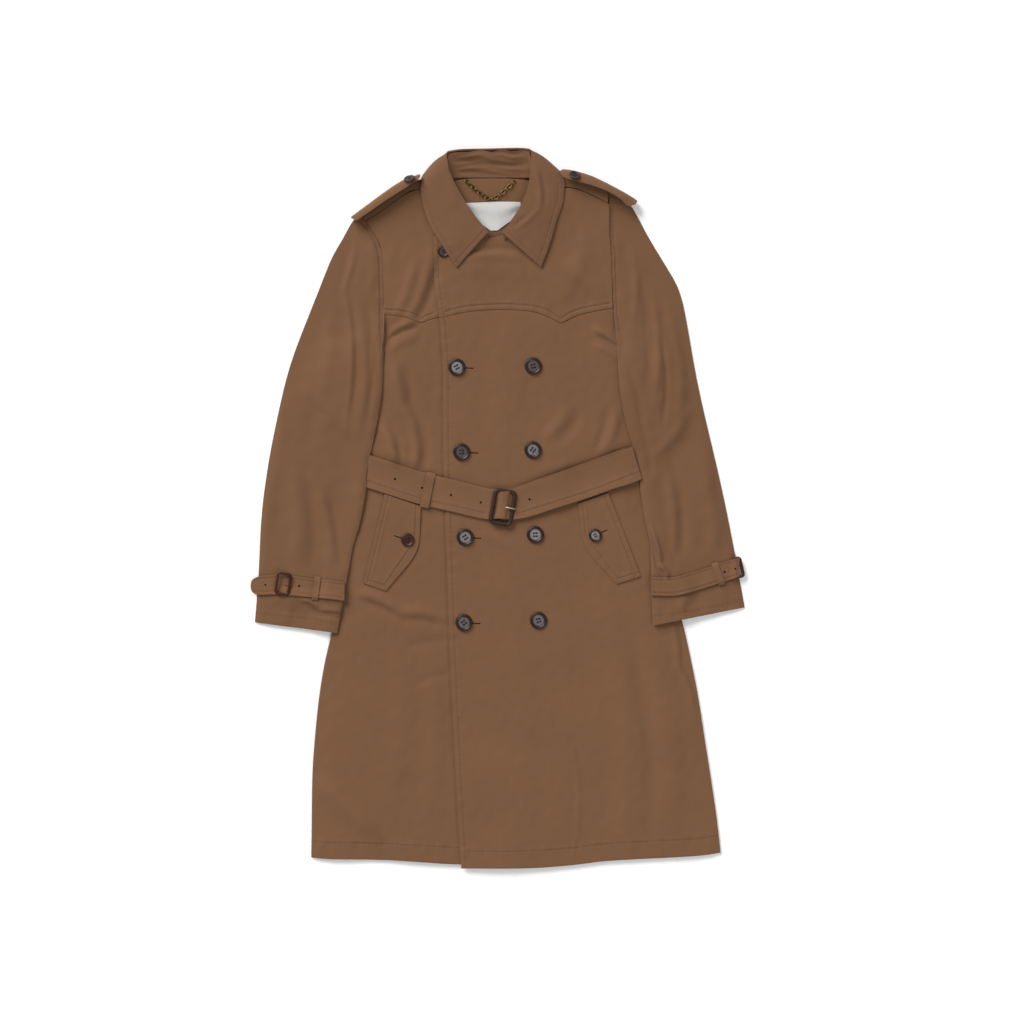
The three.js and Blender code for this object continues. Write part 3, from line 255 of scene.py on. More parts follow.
def cotton_twill(name, tone, turn=0.0, rough=0.86, weave=1.0):
    """Dense cotton twill: fine slanted ribs, a dusty nap and slight uneven dye."""
    finish = Finish(name)
    ribs_at = finish.place(turn=(0, 0, turn))
    ribs = finish.node("TexWave", {"wave_type": "BANDS", "bands_direction": "DIAGONAL"},
                       Vector=ribs_at, Scale=330.0, Distortion=0.6, Detail=1.0, Detail_Scale=2.0)
    rib = finish.out(ribs, "Fac")
    slub = finish.out(finish.node("TexNoise", Vector=finish.place(scale=(1, 0.35, 1)), Scale=900.0,
                                  Detail=3.0, Roughness=0.6), "Fac")
    dye = finish.out(finish.node("TexNoise", Vector=finish.place(), Scale=9.0, Detail=4.0,
                                 Roughness=0.55), "Fac")
    cloud = finish.out(finish.node("TexNoise", Vector=finish.place(), Scale=48.0, Detail=3.0,
                                   Roughness=0.6), "Fac")
    shade = ((dye - 0.5) * 0.34 + (cloud - 0.5) * 0.20 + (rib - 0.5) * 0.16 + 0.5).clamp()
    paint = finish.blend(shade, darker(tone, 0.86), darker(tone, 1.13))
    nap = rib * 0.55 * weave + slub * 0.45
    soft = finish.bump(cloud, 0.25, 0.0009)
    normal = finish.bump(nap, 0.32, 0.00045, soft)
    material = finish.shade(Base_Color=paint, Roughness=(slub * 0.10 + (rough - 0.05)), Normal=normal)
    finish.shader.inputs["Sheen Weight"].default_value = 0.10
    finish.shader.inputs["Sheen Roughness"].default_value = 0.5
    finish.shader.inputs["Specular IOR Level"].default_value = 0.22
    return material


def spun_thread(name, tone):
    finish = Finish(name)
    twist = finish.out(finish.node("TexNoise", Vector=finish.place(), Scale=1400.0, Detail=2.0), "Fac")
    paint = finish.blend(twist, darker(tone, 0.78), darker(tone, 1.2))
    return finish.shade(Base_Color=paint, Roughness=0.6 + twist * 0.1,
                        Normal=finish.bump(twist, 0.3, 0.0002))


def polished_horn(name, tone, face=(0.185, 0.172, 0.178)):
    """Horn button: a dark brown rim round a paler, cloudy face, under polish."""
    finish = Finish(name)
    ring = finish.out(finish.node("Attribute", {"attribute_name": "ring"}), "Fac")
    pale = finish.out(finish.node("Attribute", {"attribute_name": "shade"}), "Fac")
    streak = finish.out(finish.node("TexNoise", Vector=finish.place(scale=(1, 0.3, 1), turn=(0, 0, 0.6)),
                                    Scale=160.0, Detail=5.0, Roughness=0.6, Distortion=0.8), "Fac")
    fleck = finish.out(finish.node("TexNoise", Vector=finish.place(), Scale=900.0, Detail=2.0), "Fac")
    edge = ((ring + (streak - 0.5) * 0.08 - 0.57) * 10.0).clamp()
    middle = ((0.20 - ring) * 9.0).clamp()
    horn = finish.blend((streak * 1.5 - 0.3).clamp(), darker(tone, 0.55), darker(tone, 1.6))
    bright = finish.blend((streak * 1.8 - 0.4).clamp(), darker(face, 0.72), darker(face, 1.15))
    share = (1.0 - edge) * (1.0 - middle * 0.35) * pale
    paint = finish.blend(share, horn, bright)
    material = finish.shade(Base_Color=paint, Roughness=(0.32 + fleck * 0.12),
                            Normal=finish.bump(fleck, 0.12, 0.00012))
    finish.shader.inputs["Coat Weight"].default_value = 0.10
    finish.shader.inputs["Coat Roughness"].default_value = 0.2
    finish.shader.inputs["Specular IOR Level"].default_value = 0.25
    return material


# Near-black matt finish: painted shade that stands for the dark inside of a worked hole.
def hole_shade_black(name):
    finish = Finish(name)
    grain = finish.out(finish.node("TexNoise", Vector=finish.place(), Scale=500.0, Detail=2.0), "Fac")
    material = finish.shade(Base_Color=finish.blend(grain, (0.004, 0.0025, 0.002, 1), (0.010, 0.006, 0.004, 1)),
                            Roughness=0.85 + grain * 0.1)
    finish.shader.inputs["Specular IOR Level"].default_value = 0.0
    return material


def covered_leather(name, tone):
    finish = Finish(name)
    cells = finish.out(finish.node("TexVoronoi", {"feature": "DISTANCE_TO_EDGE"},
                                   Vector=finish.place(), Scale=900.0), "Distance")
    wear = finish.out(finish.node("TexNoise", Vector=finish.place(), Scale=140.0, Detail=5.0), "Fac")
    paint = finish.blend((wear * 1.6 - 0.35).clamp(), darker(tone, 0.7), darker(tone, 1.45))
    grain = finish.bump((cells * 4.0).clamp(), 0.35, 0.00018)
    material = finish.shade(Base_Color=paint, Roughness=(0.38 + wear * 0.2), Normal=grain)
    finish.shader.inputs["Specular IOR Level"].default_value = 0.22
    finish.shader.inputs["Coat Weight"].default_value = 0.06
    finish.shader.inputs["Coat Roughness"].default_value = 0.3
    return material


def aged_brass(name, tone):
    finish = Finish(name)
    tarnish = finish.out(finish.node("TexNoise", Vector=finish.place(), Scale=420.0, Detail=5.0), "Fac")
    paint = finish.blend((tarnish * 1.7 - 0.4).clamp(), darker(tone, 0.45), darker(tone, 1.2))
    material = finish.shade(Base_Color=paint, Roughness=(0.28 + tarnish * 0.28),
                            Normal=finish.bump(tarnish, 0.15, 0.0001))
    finish.shader.inputs["Metallic"].default_value = 0.9
    return material


def woven_satin(name, tone):
    finish = Finish(name)
    warp = finish.out(finish.node("TexWave", {"bands_direction": "X"}, Vector=finish.place(),
                                  Scale=620.0), "Fac")
    weft = finish.out(finish.node("TexWave", {"bands_direction": "Y"}, Vector=finish.place(),
                                  Scale=480.0), "Fac")
    paint = finish.blend(warp * 0.5 + weft * 0.5, darker(tone, 0.93), darker(tone, 1.04))
    return finish.shade(Base_Color=paint, Roughness=0.5 + warp * 0.1,
                        Normal=finish.bump(warp * weft, 0.3, 0.00015))


def matt_floor(name, tone):
    finish = Finish(name)
    grain = finish.out(finish.node("TexNoise", Vector=finish.place(), Scale=40.0, Detail=4.0), "Fac")
    paint = finish.blend(grain, darker(tone, 0.992), darker(tone, 1.0))
    return finish.shade(Base_Color=paint, Roughness=0.9)


FINISHES = {}


def finish_of(name):
    makers = {
        "coat cloth": lambda n: cotton_twill(n, colour("cloth")),
        "sleeve cloth": lambda n: cotton_twill(n, darker(colour("cloth"), 0.97), turn=0.35),
        "collar cloth": lambda n: cotton_twill(n, colour("collar"), turn=0.7),
        "inner cloth": lambda n: cotton_twill(n, colour("inner"), turn=0.2, rough=0.9),
        "belt cloth": lambda n: cotton_twill(n, colour("belt"), turn=1.2),
        "thread": lambda n: spun_thread(n, colour("thread")),
        "dark thread": lambda n: spun_thread(n, darker(colour("thread"), 0.10)),
        "horn": lambda n: polished_horn(n, colour("button")),
        "reddish horn": lambda n: polished_horn(n, colour("red_button"), colour("red_button")),
        # Painted shade: a near-black finish for the insides of worked holes.
        "painted hole shade": hole_shade_black,
        "buckle leather": lambda n: covered_leather(n, colour("leather")),
        "cuff leather": lambda n: covered_leather(n, colour("cuff_leather")),
        "brass": lambda n: aged_brass(n, colour("brass")),
        # Dark brass: the chain's own dark tone, and painted shade on the cuff prong, which lies in the frame's
        # shadow.
        "dark brass and painted shade": lambda n: aged_brass(n, (0.20, 0.125, 0.045, 1.0)),
        "label weave": lambda n: woven_satin(n, colour("label")),
        "floor": lambda n: matt_floor(n, colour("floor")),
    }
    if name not in FINISHES:
        FINISHES[name] = makers[name](name.replace(" ", "_"))
    return FINISHES[name]


# Places on the coat, in millimetres: x to the wearer's left, y to the neck, from the middle of the waist
FRONT_EDGE = (
    (-55.2, -558), (-58, -516), (-62, -446), (-66.2, -364), (-70.4, -281), (-73.2, -212), (-77, -96),
    (-79.8, -11), (-82.2, 57), (-83.4, 140), (-83.4, 220), (-86.8, 273), (-90.1, 301), (-97.7, 353),
    (-98.4, 421),
)
HEM_OVER = ((-57, -558.6), (35.6, -558.6), (122.5, -553.4), (159.7, -548.1), (323.9, -538.5), (348, -534.5))
HEM_UNDER = ((-287, -542.3), (-275, -544.3), (-183, -545.7), (-113, -549.4), (-62, -552.6))
YOKE_OVER_LOW = (
    (-92, 293.6), (-80.6, 296.1), (-49.6, 303.8), (4.7, 307.7), (51.1, 305.4), (74.4, 299.2), (99.2, 287.5),
    (117.8, 296.1), (136.4, 302.2), (177, 309.6),
)
YOKE_UNDER_LOW = ((-175, 299.8), (-150.3, 297.6), (-131.8, 293.7), (-117.8, 287.5), (-107, 291.4), (-94.5, 295.3))
ARMHOLE_RIGHT = (
    (-174.8, 266), (-174.7, 307), (-175.2, 347), (-176.7, 390.6), (-181.3, 409), (-192.2, 429.4),
    (-203.1, 445), (-210.8, 456),
)
ARMHOLE_LEFT = ((184.2, 268), (179.8, 307), (178.2, 347), (177.2, 390.6), (175.6, 409), (174.1, 445), (174.5, 488))
SLEEVE_END_RIGHT = ((-374.6, -163), (-330, -168.5), (-285, -173.5), (-247.5, -179.5))
SLEEVE_END_LEFT = ((242, -167.5), (290, -161), (340, -152), (382.6, -140))
COLLAR_EDGE_RIGHT = (
    (-116.5, 497), (-114.7, 471.2), (-103.1, 437.1), (-81.4, 401.4), (-62.9, 372), (-15.2, 424),
)
COLLAR_EDGE_LEFT = (
    (102.6, 502), (102.3, 477.4), (91.5, 443.3), (80.6, 406.1), (67.9, 373.1), (9.6, 423),
)
WELT_RIGHT = ((-173.9, 22), (-188.5, -38), (-207.7, -116.2), (-172.1, -128.7), (-120.8, -55), (-118, 2.4))
WELT_LEFT = ((125.5, 6.6), (132.6, -50), (185.2, -117.8), (222.6, -106), (196, -36), (172.1, 23.6))
BELT_LINE = (
    (-206, 60, 23.6), (-160, 44, 23.8), (-109, 28.4, 24.2), (-60, 17, 24), (-8, 5.4, 23.6), (9, 4.5, 23.6),
    (31, 7, 24), (73, 20.6, 24.6), (136, 41.6, 25.4), (216, 71.4, 25),
)
CUFF_RIGHT = (
    (-382, -121, 6), (-377, -121, 13.4), (-362, -119.6, 15), (-341, -118.6, 15.2), (-314, -120.4, 15.2),
    (-288, -123.7, 14.5), (-260, -126, 14.5), (-238, -128.8, 14.5),
)
CUFF_LEFT = (
    (240, -121, 14.4), (270.5, -121.8, 14.4), (296, -116.4, 15), (321.8, -109, 15.2), (347.5, -100.6, 15.2),
    (366, -94.6, 15), (375, -92, 14.6),
)
SIDES = (
    (-560, 288, 349), (-420, 287, 332), (-300, 277, 313), (-190, 256, 291), (-96, 235, 263), (-50, 223, 245),
    (20, 206, 223), (78, 205, 221), (167, 236, 246), (215, 249, 255), (255, 190, 198), (270, 175, 184),
    (400, 178, 176), (520, 230, 176),
)


# Ridges (height over 0) and hollows (under 0) of the cloth: from, to, half width, height
BODY_FOLDS = {
    "chest drag from the neck button": ((-100, 402), (-138, 288), 9, 1.9),
    "chest hollow beside it": ((-92, 380), (-120, 300), 7, -1.1),
    "chest drag, second": ((-128, 380), (-156, 300), 8, 1.2),
    "left chest drag": ((140, 430), (104, 330), 16, 1.1),
    "left chest fall from the collar": ((108, 380), (168, 318), 13, 1.4),
    "left chest hollow": ((100, 360), (160, 300), 9, -0.9),
    "throat crease": ((-46, 398), (34, 398), 5, -0.9),
    "throat swell": ((-50, 388), (40, 386), 8, 1.3),
    "fall below the collar": ((-60, 372), (60, 366), 20, 1.3),
    "over front fall": ((20, 330), (2, 60), 26, 1.0),
    "over front hollow": ((-30, 290), (-26, 120), 18, -0.7),
    "right armhole crease": ((-170, 261), (-122, 282), 3.4, -1.3),
    "right armhole lip": ((-168, 270), (-126, 290), 4.5, 1.4),
    "right armhole swell": ((-166, 246), (-124, 268), 8, 1.2),
    "right side fold": ((-160, 216), (-148, 158), 9, 1.8),
    "right side hollow": ((-144, 216), (-131, 158), 9, -1.3),
    "right side fold, middle": ((-148, 160), (-127, 118), 8, 1.7),
    "right side hollow, middle": ((-133, 164), (-111, 120), 8, -1.2),
    "left armhole crease": ((158, 266), (186, 248), 3.2, -2.0),
    "left armhole lip": ((150, 278), (186, 256), 6, 1.7),
    "left armhole lower lip": ((152, 252), (196, 228), 6, 1.4),
    "right waist pleat, outer": ((-176, 126), (-158, 66), 7, 1.7),
    "right waist hollow, outer": ((-164, 130), (-147, 68), 5, -1.0),
    "right waist pleat, inner": ((-129, 124), (-127, 60), 7, 1.8),
    "right waist hollow, inner": ((-114, 124), (-112, 60), 7, -1.2),
    "left waist pleat, outer": ((186, 150), (168, 92), 8, 1.6),
    "left waist hollow": ((170, 150), (152, 88), 6, -0.9),
    "left waist pleat, inner": ((112, 158), (76, 108), 9, 1.2),
    "left waist hollow, inner": ((128, 148), (94, 98), 9, -0.9),
    "below the right pocket": ((-214, -132), (-152, -160), 8, 2.0),
    "hollow below the right pocket": ((-210, -144), (-150, -172), 6, -1.2),
    "below the right pocket, inner": ((-152, -160), (-84, -170), 8, 1.5),
    "hollow below, inner": ((-150, -174), (-84, -182), 6, -0.9),
    "small crease": ((-140, -216), (-74, -206), 7, -0.8),
    "small crease, lower": ((-124, -272), (-76, -258), 7, -0.7),
    "left skirt crease": ((108, -352), (132, -388), 4, -0.9),
    "pressed line of the skirt": ((118, -372), (116, -552), 3.4, 0.45),
    "right skirt swing": ((-280, -424), (-186, -512), 17, 2.8),
    "right skirt swing, hollow": ((-258, -430), (-166, -512), 12, -1.3),
    "right skirt fall": ((-150, -210), (-170, -470), 18, 1.0),
    "right skirt fall, inner": ((-104, -230), (-110, -500), 14, 0.8),
    "left skirt fall": ((236, -200), (268, -520), 20, 1.6),
    "left skirt fall, middle": ((170, -150), (196, -520), 20, 1.2),
    "left skirt hollow": ((204, -190), (234, -530), 13, -0.9),
    "front skirt fall": ((20, -120), (30, -520), 24, 0.9),
    "below the buckle": ((-30, -40), (30, -64), 9, 0.8),
}
# The front's side seam rolls off the back below the left hip
HIP_FOLDS = {
    "roll": ((268, -170), (281, -246), 5, 1.7),
    "roll, low": ((281, -246), (306, -310), 5, 1.7),
    "step down": ((276, -170), (289, -246), 3.2, -1.2),
    "step down, low": ((289, -246), (313, -310), 3.2, -1.2),
}
SLEEVE_FOLDS = {
    "right head ridge": ((-220, 446), (-237, 340), 4.8, 1.8),
    "right head hollow": ((-230, 430), (-247, 330), 5, -0.7),
    "right head ridge, inner": ((-194, 420), (-197, 330), 8, 0.9),
    "right long ridge, outer": ((-237, 346), (-234, 130), 5, 1.0),
    "right long hollow, outer": ((-228, 330), (-226, 140), 4.5, -0.8),
    "right long ridge, middle": ((-214, 320), (-214, 120), 6, 0.9),
    "right long hollow, inner": ((-199, 310), (-202, 130), 4.5, -0.8),
    "right upper fall": ((-262, 330), (-274, 170), 13, 1.2),
    "right elbow pull": ((-300, 186), (-232, 108), 9, 0.9),
    "right elbow hollow": ((-292, 168), (-230, 90), 7, -0.6),
    "right forearm band": ((-258, 20), (-240, -92), 9, -1.3),
    "right forearm ridge beside it": ((-276, 30), (-258, -90), 9, 1.6),
    "right forearm ridge": ((-318, 60), (-310, -84), 12, 1.4),
    "right forearm hollow": ((-296, 50), (-286, -88), 8, -0.9),
    "right cuff crease": ((-303, -148), (-273, -166), 3.2, -1.0),
    "right cuff crease, inner": ((-278, -165), (-240, -169), 3.2, -0.8),
    "right cuff swell": ((-302, -141), (-271, -157), 4.6, 2.1),
    "right cuff swell, inner": ((-273, -157), (-240, -162), 4.6, 2.1),
    "right cuff gather": ((-326, -140), (-318, -160), 7, 1.1),
    "right cuff, swell at the strap": ((-362, -141), (-236, -147), 12, 2.0),
    "left head ridge": ((231, 424), (268, 346), 4.8, 1.6),
    "left head hollow": ((222, 420), (254, 340), 5, -0.8),
    "left head ridge, inner": ((206, 420), (212, 290), 6, 1.1),
    "left long hollow": ((226, 340), (231, 190), 5.5, -0.9),
    "left long ridge": ((242, 330), (244, 170), 6, 1.3),
    "left long hollow, outer": ((254, 262), (257, 130), 4.5, -1.2),
    "left outer ridge": ((272, 310), (280, 120), 9, 1.5),
    "left outer hollow": ((287, 326), (300, 236), 3.5, -0.7),
    "left inner hollow": ((200, 224), (226, 120), 6, -1.1),
    "left inner hollow, low": ((226, 120), (238, 50), 6, -1.0),
    "left elbow pull": ((298, 150), (246, 82), 9, 1.4),
    "left forearm ridge": ((262, 60), (272, -80), 8, 1.9),
    "left forearm hollow": ((278, 50), (288, -70), 8, -1.1),
    "left forearm ridge, outer": ((318, 70), (336, -66), 11, 1.4),
    "left fold edge": ((238, -30), (253, -88), 4, 2.4),
    "left fold edge, end": ((253, -88), (266, -108), 4, 2.3),
    "left fold crease": ((238, -52), (248, -92), 3.0, -1.1),
    "left fold crease, end": ((247, -90), (260, -110), 3.0, -1.0),
    "left fold shade": ((264, -50), (277, -96), 7, -0.8),
    "left cuff gather": ((290, -134), (284, -158), 7, 1.2),
    "left cuff hollow": ((312, -130), (300, -152), 8, -0.5),
}


LEAF_FOLDS = {
    "left roll band": ((60, 524), (66, 462), 4.5, 1.5),
    "left roll hollow": ((68, 520), (74, 466), 4, -1.1),
    "left roll band, low": ((64, 462), (36, 436), 4.5, 1.3),
    "left throat hollow": ((46, 452), (24, 436), 4, -1.2),
    "right roll band": ((-78, 516), (-62, 470), 6, 0.9),
}


# Making pieces
def choose(piece):
    bpy.ops.object.select_all(action="DESELECT")
    piece.select_set(True)
    bpy.context.view_layer.objects.active = piece


def dress(piece, name, finish, slot, nodes=()):
    """Names a piece, gives it its finish, and ties it to the frame."""
    piece.name = name
    piece.data.name = name
    piece.data.materials.clear()
    piece.data.materials.append(finish_of(finish))
    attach(piece, "root")
    if nodes:
        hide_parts(*nodes)
    made[name] = piece
    return piece


def dress_marked(piece, name, slot, nodes=()):
    """Dresses a piece, and keeps the finishes that its faces are marked with."""
    finishes = list(piece.data.materials)
    marks = [face.material_index for face in piece.data.polygons]
    dress(piece, name, "thread", slot, nodes)
    piece.data.materials.clear()
    for material in finishes:
        piece.data.materials.append(material)
    for face, mark in zip(piece.data.polygons, marks):
        face.material_index = mark
    return piece


def cloth_from(node, levels, sharp=50.0):
    """A fine cloth piece over the plain solid of one node, its outline kept."""
    source = frame["nodes"][node]
    choose(source)
    bpy.ops.object.duplicate()
    piece = bpy.context.active_object
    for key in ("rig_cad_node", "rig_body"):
        if key in piece:
            del piece[key]
    piece.parent = None
    bpy.ops.object.mode_set(mode="EDIT")
    bpy.ops.mesh.select_all(action="SELECT")
    bpy.ops.mesh.remove_doubles(threshold=0.00001)
    bpy.ops.mesh.tris_convert_to_quads(face_threshold=math.radians(60), shape_threshold=math.radians(60))
    bpy.ops.mesh.select_all(action="DESELECT")
    bpy.ops.mesh.select_mode(type="EDGE")
    bpy.ops.mesh.edges_select_sharp(sharpness=math.radians(sharp))
    bpy.ops.transform.edge_crease(value=1.0)
    bpy.ops.object.mode_set(mode="OBJECT")
    corner_marks(piece)
    smooth = piece.modifiers.new("Fine cloth", "SUBSURF")
    smooth.levels = smooth.render_levels = levels
    bpy.ops.object.modifier_apply(modifier=smooth.name)
    bpy.ops.object.shade_smooth_by_angle(angle=math.radians(55))
    return piece


def corner_marks(piece):
    """Keeps a corner, where three creased edges meet, from being rounded off."""
    mesh = piece.data
    crease = mesh.attributes.get("crease_edge")
    if crease is None:
        return
    count = [0] * len(mesh.vertices)
    for edge in mesh.edges:
        if crease.data[edge.index].value > 0.5:
            count[edge.vertices[0]] += 1
            count[edge.vertices[1]] += 1
    marks = mesh.attributes.new("crease_vert", "FLOAT", "POINT")
    for index, number in enumerate(count):
        marks.data[index].value = 1.0 if number > 2 else 0.0


# Lines and heights, worked out for many points at once
def smooth(points, step=3.0):
    """Even places, in mm, on a soft curve through the given ones."""
    points = [Vector(p[:2]) for p in points]
    out = []
    for i in range(len(points) - 1):
        a, b = points[i], points[i + 1]
        before = points[i - 1] if i else a * 2 - b
        after = points[i + 2] if i + 2 < len(points) else b * 2 - a
        length = (b - a).length
        way_in = (b - before).normalized() * length
        way_out = (after - a).normalized() * length
        count = max(1, round(length / step))
        for k in range(count):
            t = k / count
            t2, t3 = t * t, t * t * t
            out.append(
                a * (2 * t3 - 3 * t2 + 1) + way_in * (t3 - 2 * t2 + t)
                + b * (3 * t2 - 2 * t3) + way_out * (t3 - t2)
            )
    return out + [points[-1]]


def cornered(points, step=3.0):
    """Even places, in mm, on straight lines between the given ones."""
    out = []
    for a, b in zip(points, points[1:]):
        a, b = Vector(a[:2]), Vector(b[:2])
        count = max(1, round((b - a).length / step))
        out += [a.lerp(b, k / count) for k in range(count)]
    return out + [Vector(points[-1][:2])]


def beside(points, distance):
    """The same line moved to its left by a distance in mm, with its corners kept."""
    points = [Vector(p[:2]) for p in points]
    out = []
    for i, here in enumerate(points):
        before = points[max(i - 1, 0)] if i else here * 2 - points[1]
        after = points[i + 1] if i + 1 < len(points) else here * 2 - points[i - 1]
        one, two = (here - before).normalized(), (after - here).normalized()
        bisector = Vector((-(one.y + two.y), one.x + two.x)).normalized()
        out.append(here + bisector * distance / max(0.35, bisector.dot(Vector((-one.y, one.x)))))
    return out


def from_line(x, y, line):
    """Distance, side (left of the line is positive) and place along a line, for arrays of x and y."""
    best = np.full(x.shape, 1e9)
    side = np.zeros(x.shape)
    along = np.zeros(x.shape)
    passed = 0.0
    for a, b in zip(line, line[1:]):
        dx, dy = b.x - a.x, b.y - a.y
        length = math.hypot(dx, dy) or 1e-6
        t = np.clip(((x - a.x) * dx + (y - a.y) * dy) / length**2, 0, 1)
        away = np.hypot(x - a.x - t * dx, y - a.y - t * dy)
        nearer = away < best
        best = np.where(nearer, away, best)
        side = np.where(nearer, dx * (y - a.y) - dy * (x - a.x), side)
        along = np.where(nearer, passed + t * length, along)
        passed += length
    return best, np.sign(side) * best, along


def step_up(low, high, value):
    t = np.clip((value - low) / (high - low), 0, 1)
    return t * t * (3 - 2 * t)


def ridges(folds, x, y):
    """Soft ridges and hollows at the given places, in mm, fading out at their ends."""
    lift = np.zeros(x.shape)
    for (x1, y1), (x2, y2), half, high in folds.values():
        length = math.hypot(x2 - x1, y2 - y1)
        ux, uy = (x2 - x1) / length, (y2 - y1) / length
        along = (x - x1) * ux + (y - y1) * uy
        bow = 0.05 * length * np.sin(np.pi * np.clip(along / length, 0, 1))
        across = -(x - x1) * uy + (y - y1) * ux - bow
        fade = step_up(-0.2 * length, 0.3 * length, along) * (1 - step_up(0.7 * length, 1.2 * length, along))
        lift += high * np.exp(-((across / half) ** 2)) * fade
    return lift


def waves(x, y, reach, seed, stretch=1.0):
    """Gentle uneven waves from a few slanted sines, between -1 and 1."""
    chance = random.Random(seed)
    lift = np.zeros(x.shape)
    for _ in range(7):
        turn = chance.uniform(0, math.pi)
        long = reach * chance.uniform(0.6, 1.7)
        lift += np.sin(
            (x * math.cos(turn) * stretch + y * math.sin(turn)) * 2 * math.pi / long
            + 1.4 * np.sin((y * math.cos(turn) - x * math.sin(turn)) * 2 * math.pi / (2.3 * long))
            + chance.uniform(0, 6.3)
        )
    return lift / 7 * 1.6


def body_lift(x, y):
    """Height that the fine folds add to the body cloth and to all that lies on it, in mm."""
    tall = [row[0] for row in SIDES]
    right = np.interp(y, tall, [row[1] for row in SIDES])
    left = np.interp(y, tall, [row[2] for row in SIDES])
    inside = step_up(0, 14, np.minimum(x + right, left - x))
    belt = np.interp(x, [row[0] for row in BELT_LINE], [row[1] for row in BELT_LINE])
    calm = 1 - 0.85 * np.exp(-(((y - belt) / 27) ** 4))
    strength = sizes().fold_scale
    lift = strength * (ridges(BODY_FOLDS, x, y) + 0.75 * waves(x, y, 110, 3) + 0.20 * waves(x, y, 38, 8, 1.3))
    gather = (0.75 + 0.5 * np.sin(x * 0.085 + 1.7 * np.sin(x * 0.03))) * step_up(30, 80, np.abs(x))
    swell = 1.7 * gather * np.exp(-(((y - belt - 37) / 9) ** 2)) - 0.5 * np.exp(-(((y - belt - 25) / 3) ** 2))
    return (np.maximum(lift, -2.2) * calm + swell) * (0.1 + 0.9 * inside) + ridges(HIP_FOLDS, x, y)


def sleeve_lift(x, y):
    strength = sizes().fold_scale
    strength = strength * (1 - 0.85 * step_up(6, 13, -from_line(x, y, SLEEVE_END_LINES[0])[1]) * (x < 0))
    strength = strength * (1 - 0.85 * step_up(6, 13, -from_line(x, y, SLEEVE_END_LINES[1])[1]) * (x > 0))
    lift = strength * (ridges(SLEEVE_FOLDS, x, y) + 0.8 * waves(x * 1.9, y * 0.5, 90, 5)
                       + 0.20 * waves(x, y, 34, 2, 1.4))
    return np.maximum(lift, -1.9)


SLEEVE_END_LINES = (smooth(SLEEVE_END_RIGHT), smooth(SLEEVE_END_LEFT))


def puckers(along, seed):
    """Small uneven ripples beside a stitched line."""
    return (np.sin(along * 0.31 + seed) * 0.7 + np.sin(along * 0.19 + 1.9 * np.sin(along * 0.053) + seed)
            + 0.4 * np.sin(along * 0.71 + 2.0 * np.sin(along * 0.071 + seed)))


class Seam:
    """One stitched line on a piece: its places in mm, and how far it lies inside the edge to its right."""

    def __init__(self, line, edge=0.0, sink=1.0, swell=1.0, ripple=1.0, sewn=True):
        self.line, self.edge, self.sink = line, edge, sink
        self.swell, self.ripple, self.sewn = swell, ripple, sewn

    def height(self, x, y, seed):
        away, side, along = from_line(x, y, self.line)
        sink = sizes().seam_sink / MM * self.sink
        lift = -sink * np.exp(-((away / 1.1) ** 2))
        if self.edge:
            lift += 0.55 * self.swell * np.exp(-(((side + self.edge * 0.55) / (self.edge * 0.42)) ** 2))
        lift += 0.35 * self.swell * np.exp(-(((side - 3.4) / 2.2) ** 2))
        ripple = sizes().pucker / MM * self.ripple
        return lift + ripple * puckers(along, seed) * np.exp(-((away / 8.0) ** 2))


def points_of(piece):
    flat = np.empty(len(piece.data.vertices) * 3)
    piece.data.vertices.foreach_get("co", flat)
    return flat.reshape(-1, 3)


def set_points(piece, points):
    piece.data.vertices.foreach_set("co", points.reshape(-1))
    piece.data.update()


def upward(piece):
    """How much each point of a piece faces up, from 0 to 1."""
    flat = np.empty(len(piece.data.vertices) * 3)
    piece.data.vertices.foreach_get("normal", flat)
    return step_up(0.2, 0.8, flat.reshape(-1, 3)[:, 2])


def refine(piece, seams, reach, cuts=1, low=0.3):
    """Finer faces on the upper side of a piece, near its seams or, with no seams, everywhere."""
    mesh = piece.data
    centres = np.array([(*face.center, face.normal.z) for face in mesh.polygons])
    near = centres[:, 3] > low
    if seams:
        close = np.zeros(len(centres), bool)
        for seam in seams:
            away, _, _ = from_line(centres[:, 0] / MM, centres[:, 1] / MM, seam.line)
            close |= away < reach
        near &= close
    choose(piece)
    bpy.ops.object.mode_set(mode="EDIT")
    bpy.ops.mesh.select_all(action="DESELECT")
    bpy.ops.mesh.select_mode(type="FACE")
    bpy.ops.object.mode_set(mode="OBJECT")
    mesh.polygons.foreach_set("select", near)
    bpy.ops.object.mode_set(mode="EDIT")
    bpy.ops.mesh.subdivide(number_cuts=cuts, quadcorner="INNERVERT")
    bpy.ops.object.mode_set(mode="OBJECT")


def round_edges(piece, size=0.7):
    """Turns the cut edges of a piece into soft folded ones."""
    choose(piece)
    bpy.ops.object.mode_set(mode="EDIT")
    bpy.ops.mesh.select_all(action="DESELECT")
    bpy.ops.mesh.select_mode(type="EDGE")
    bpy.ops.mesh.edges_select_sharp(sharpness=math.radians(50))
    bpy.ops.mesh.bevel(offset=size * MM, segments=2, profile=0.5, clamp_overlap=True)
    bpy.ops.object.mode_set(mode="OBJECT")


def form(piece, seams=(), lift=None, only_top=False, seed=0):
    """Gives a cloth piece its folds, seam lines and puckers."""
    points = points_of(piece)
    x, y = points[:, 0] / MM, points[:, 1] / MM
    up = upward(piece)
    rise = np.zeros(x.shape)
    if lift is not None:
        weight = step_up(2.2, 5.2, points[:, 2] / MM) if only_top else 1.0
        rise += lift(x, y) * weight
    for number, seam in enumerate(seams):
        rise += seam.height(x, y, seed + number * 1.7) * up
    points[:, 2] += rise * MM
    set_points(piece, points)
    choose(piece)
    bpy.ops.object.shade_smooth_by_angle(angle=math.radians(60))
    bpy.context.view_layer.update()


def height_on(piece, x, y):
    """Height of a piece's upper face at a place in mm, or None beside it."""
    hit, place, normal, _ = piece.ray_cast(Vector((x * MM, y * MM, 0.2)), Vector((0, 0, -1)))
    return place.z if hit else None


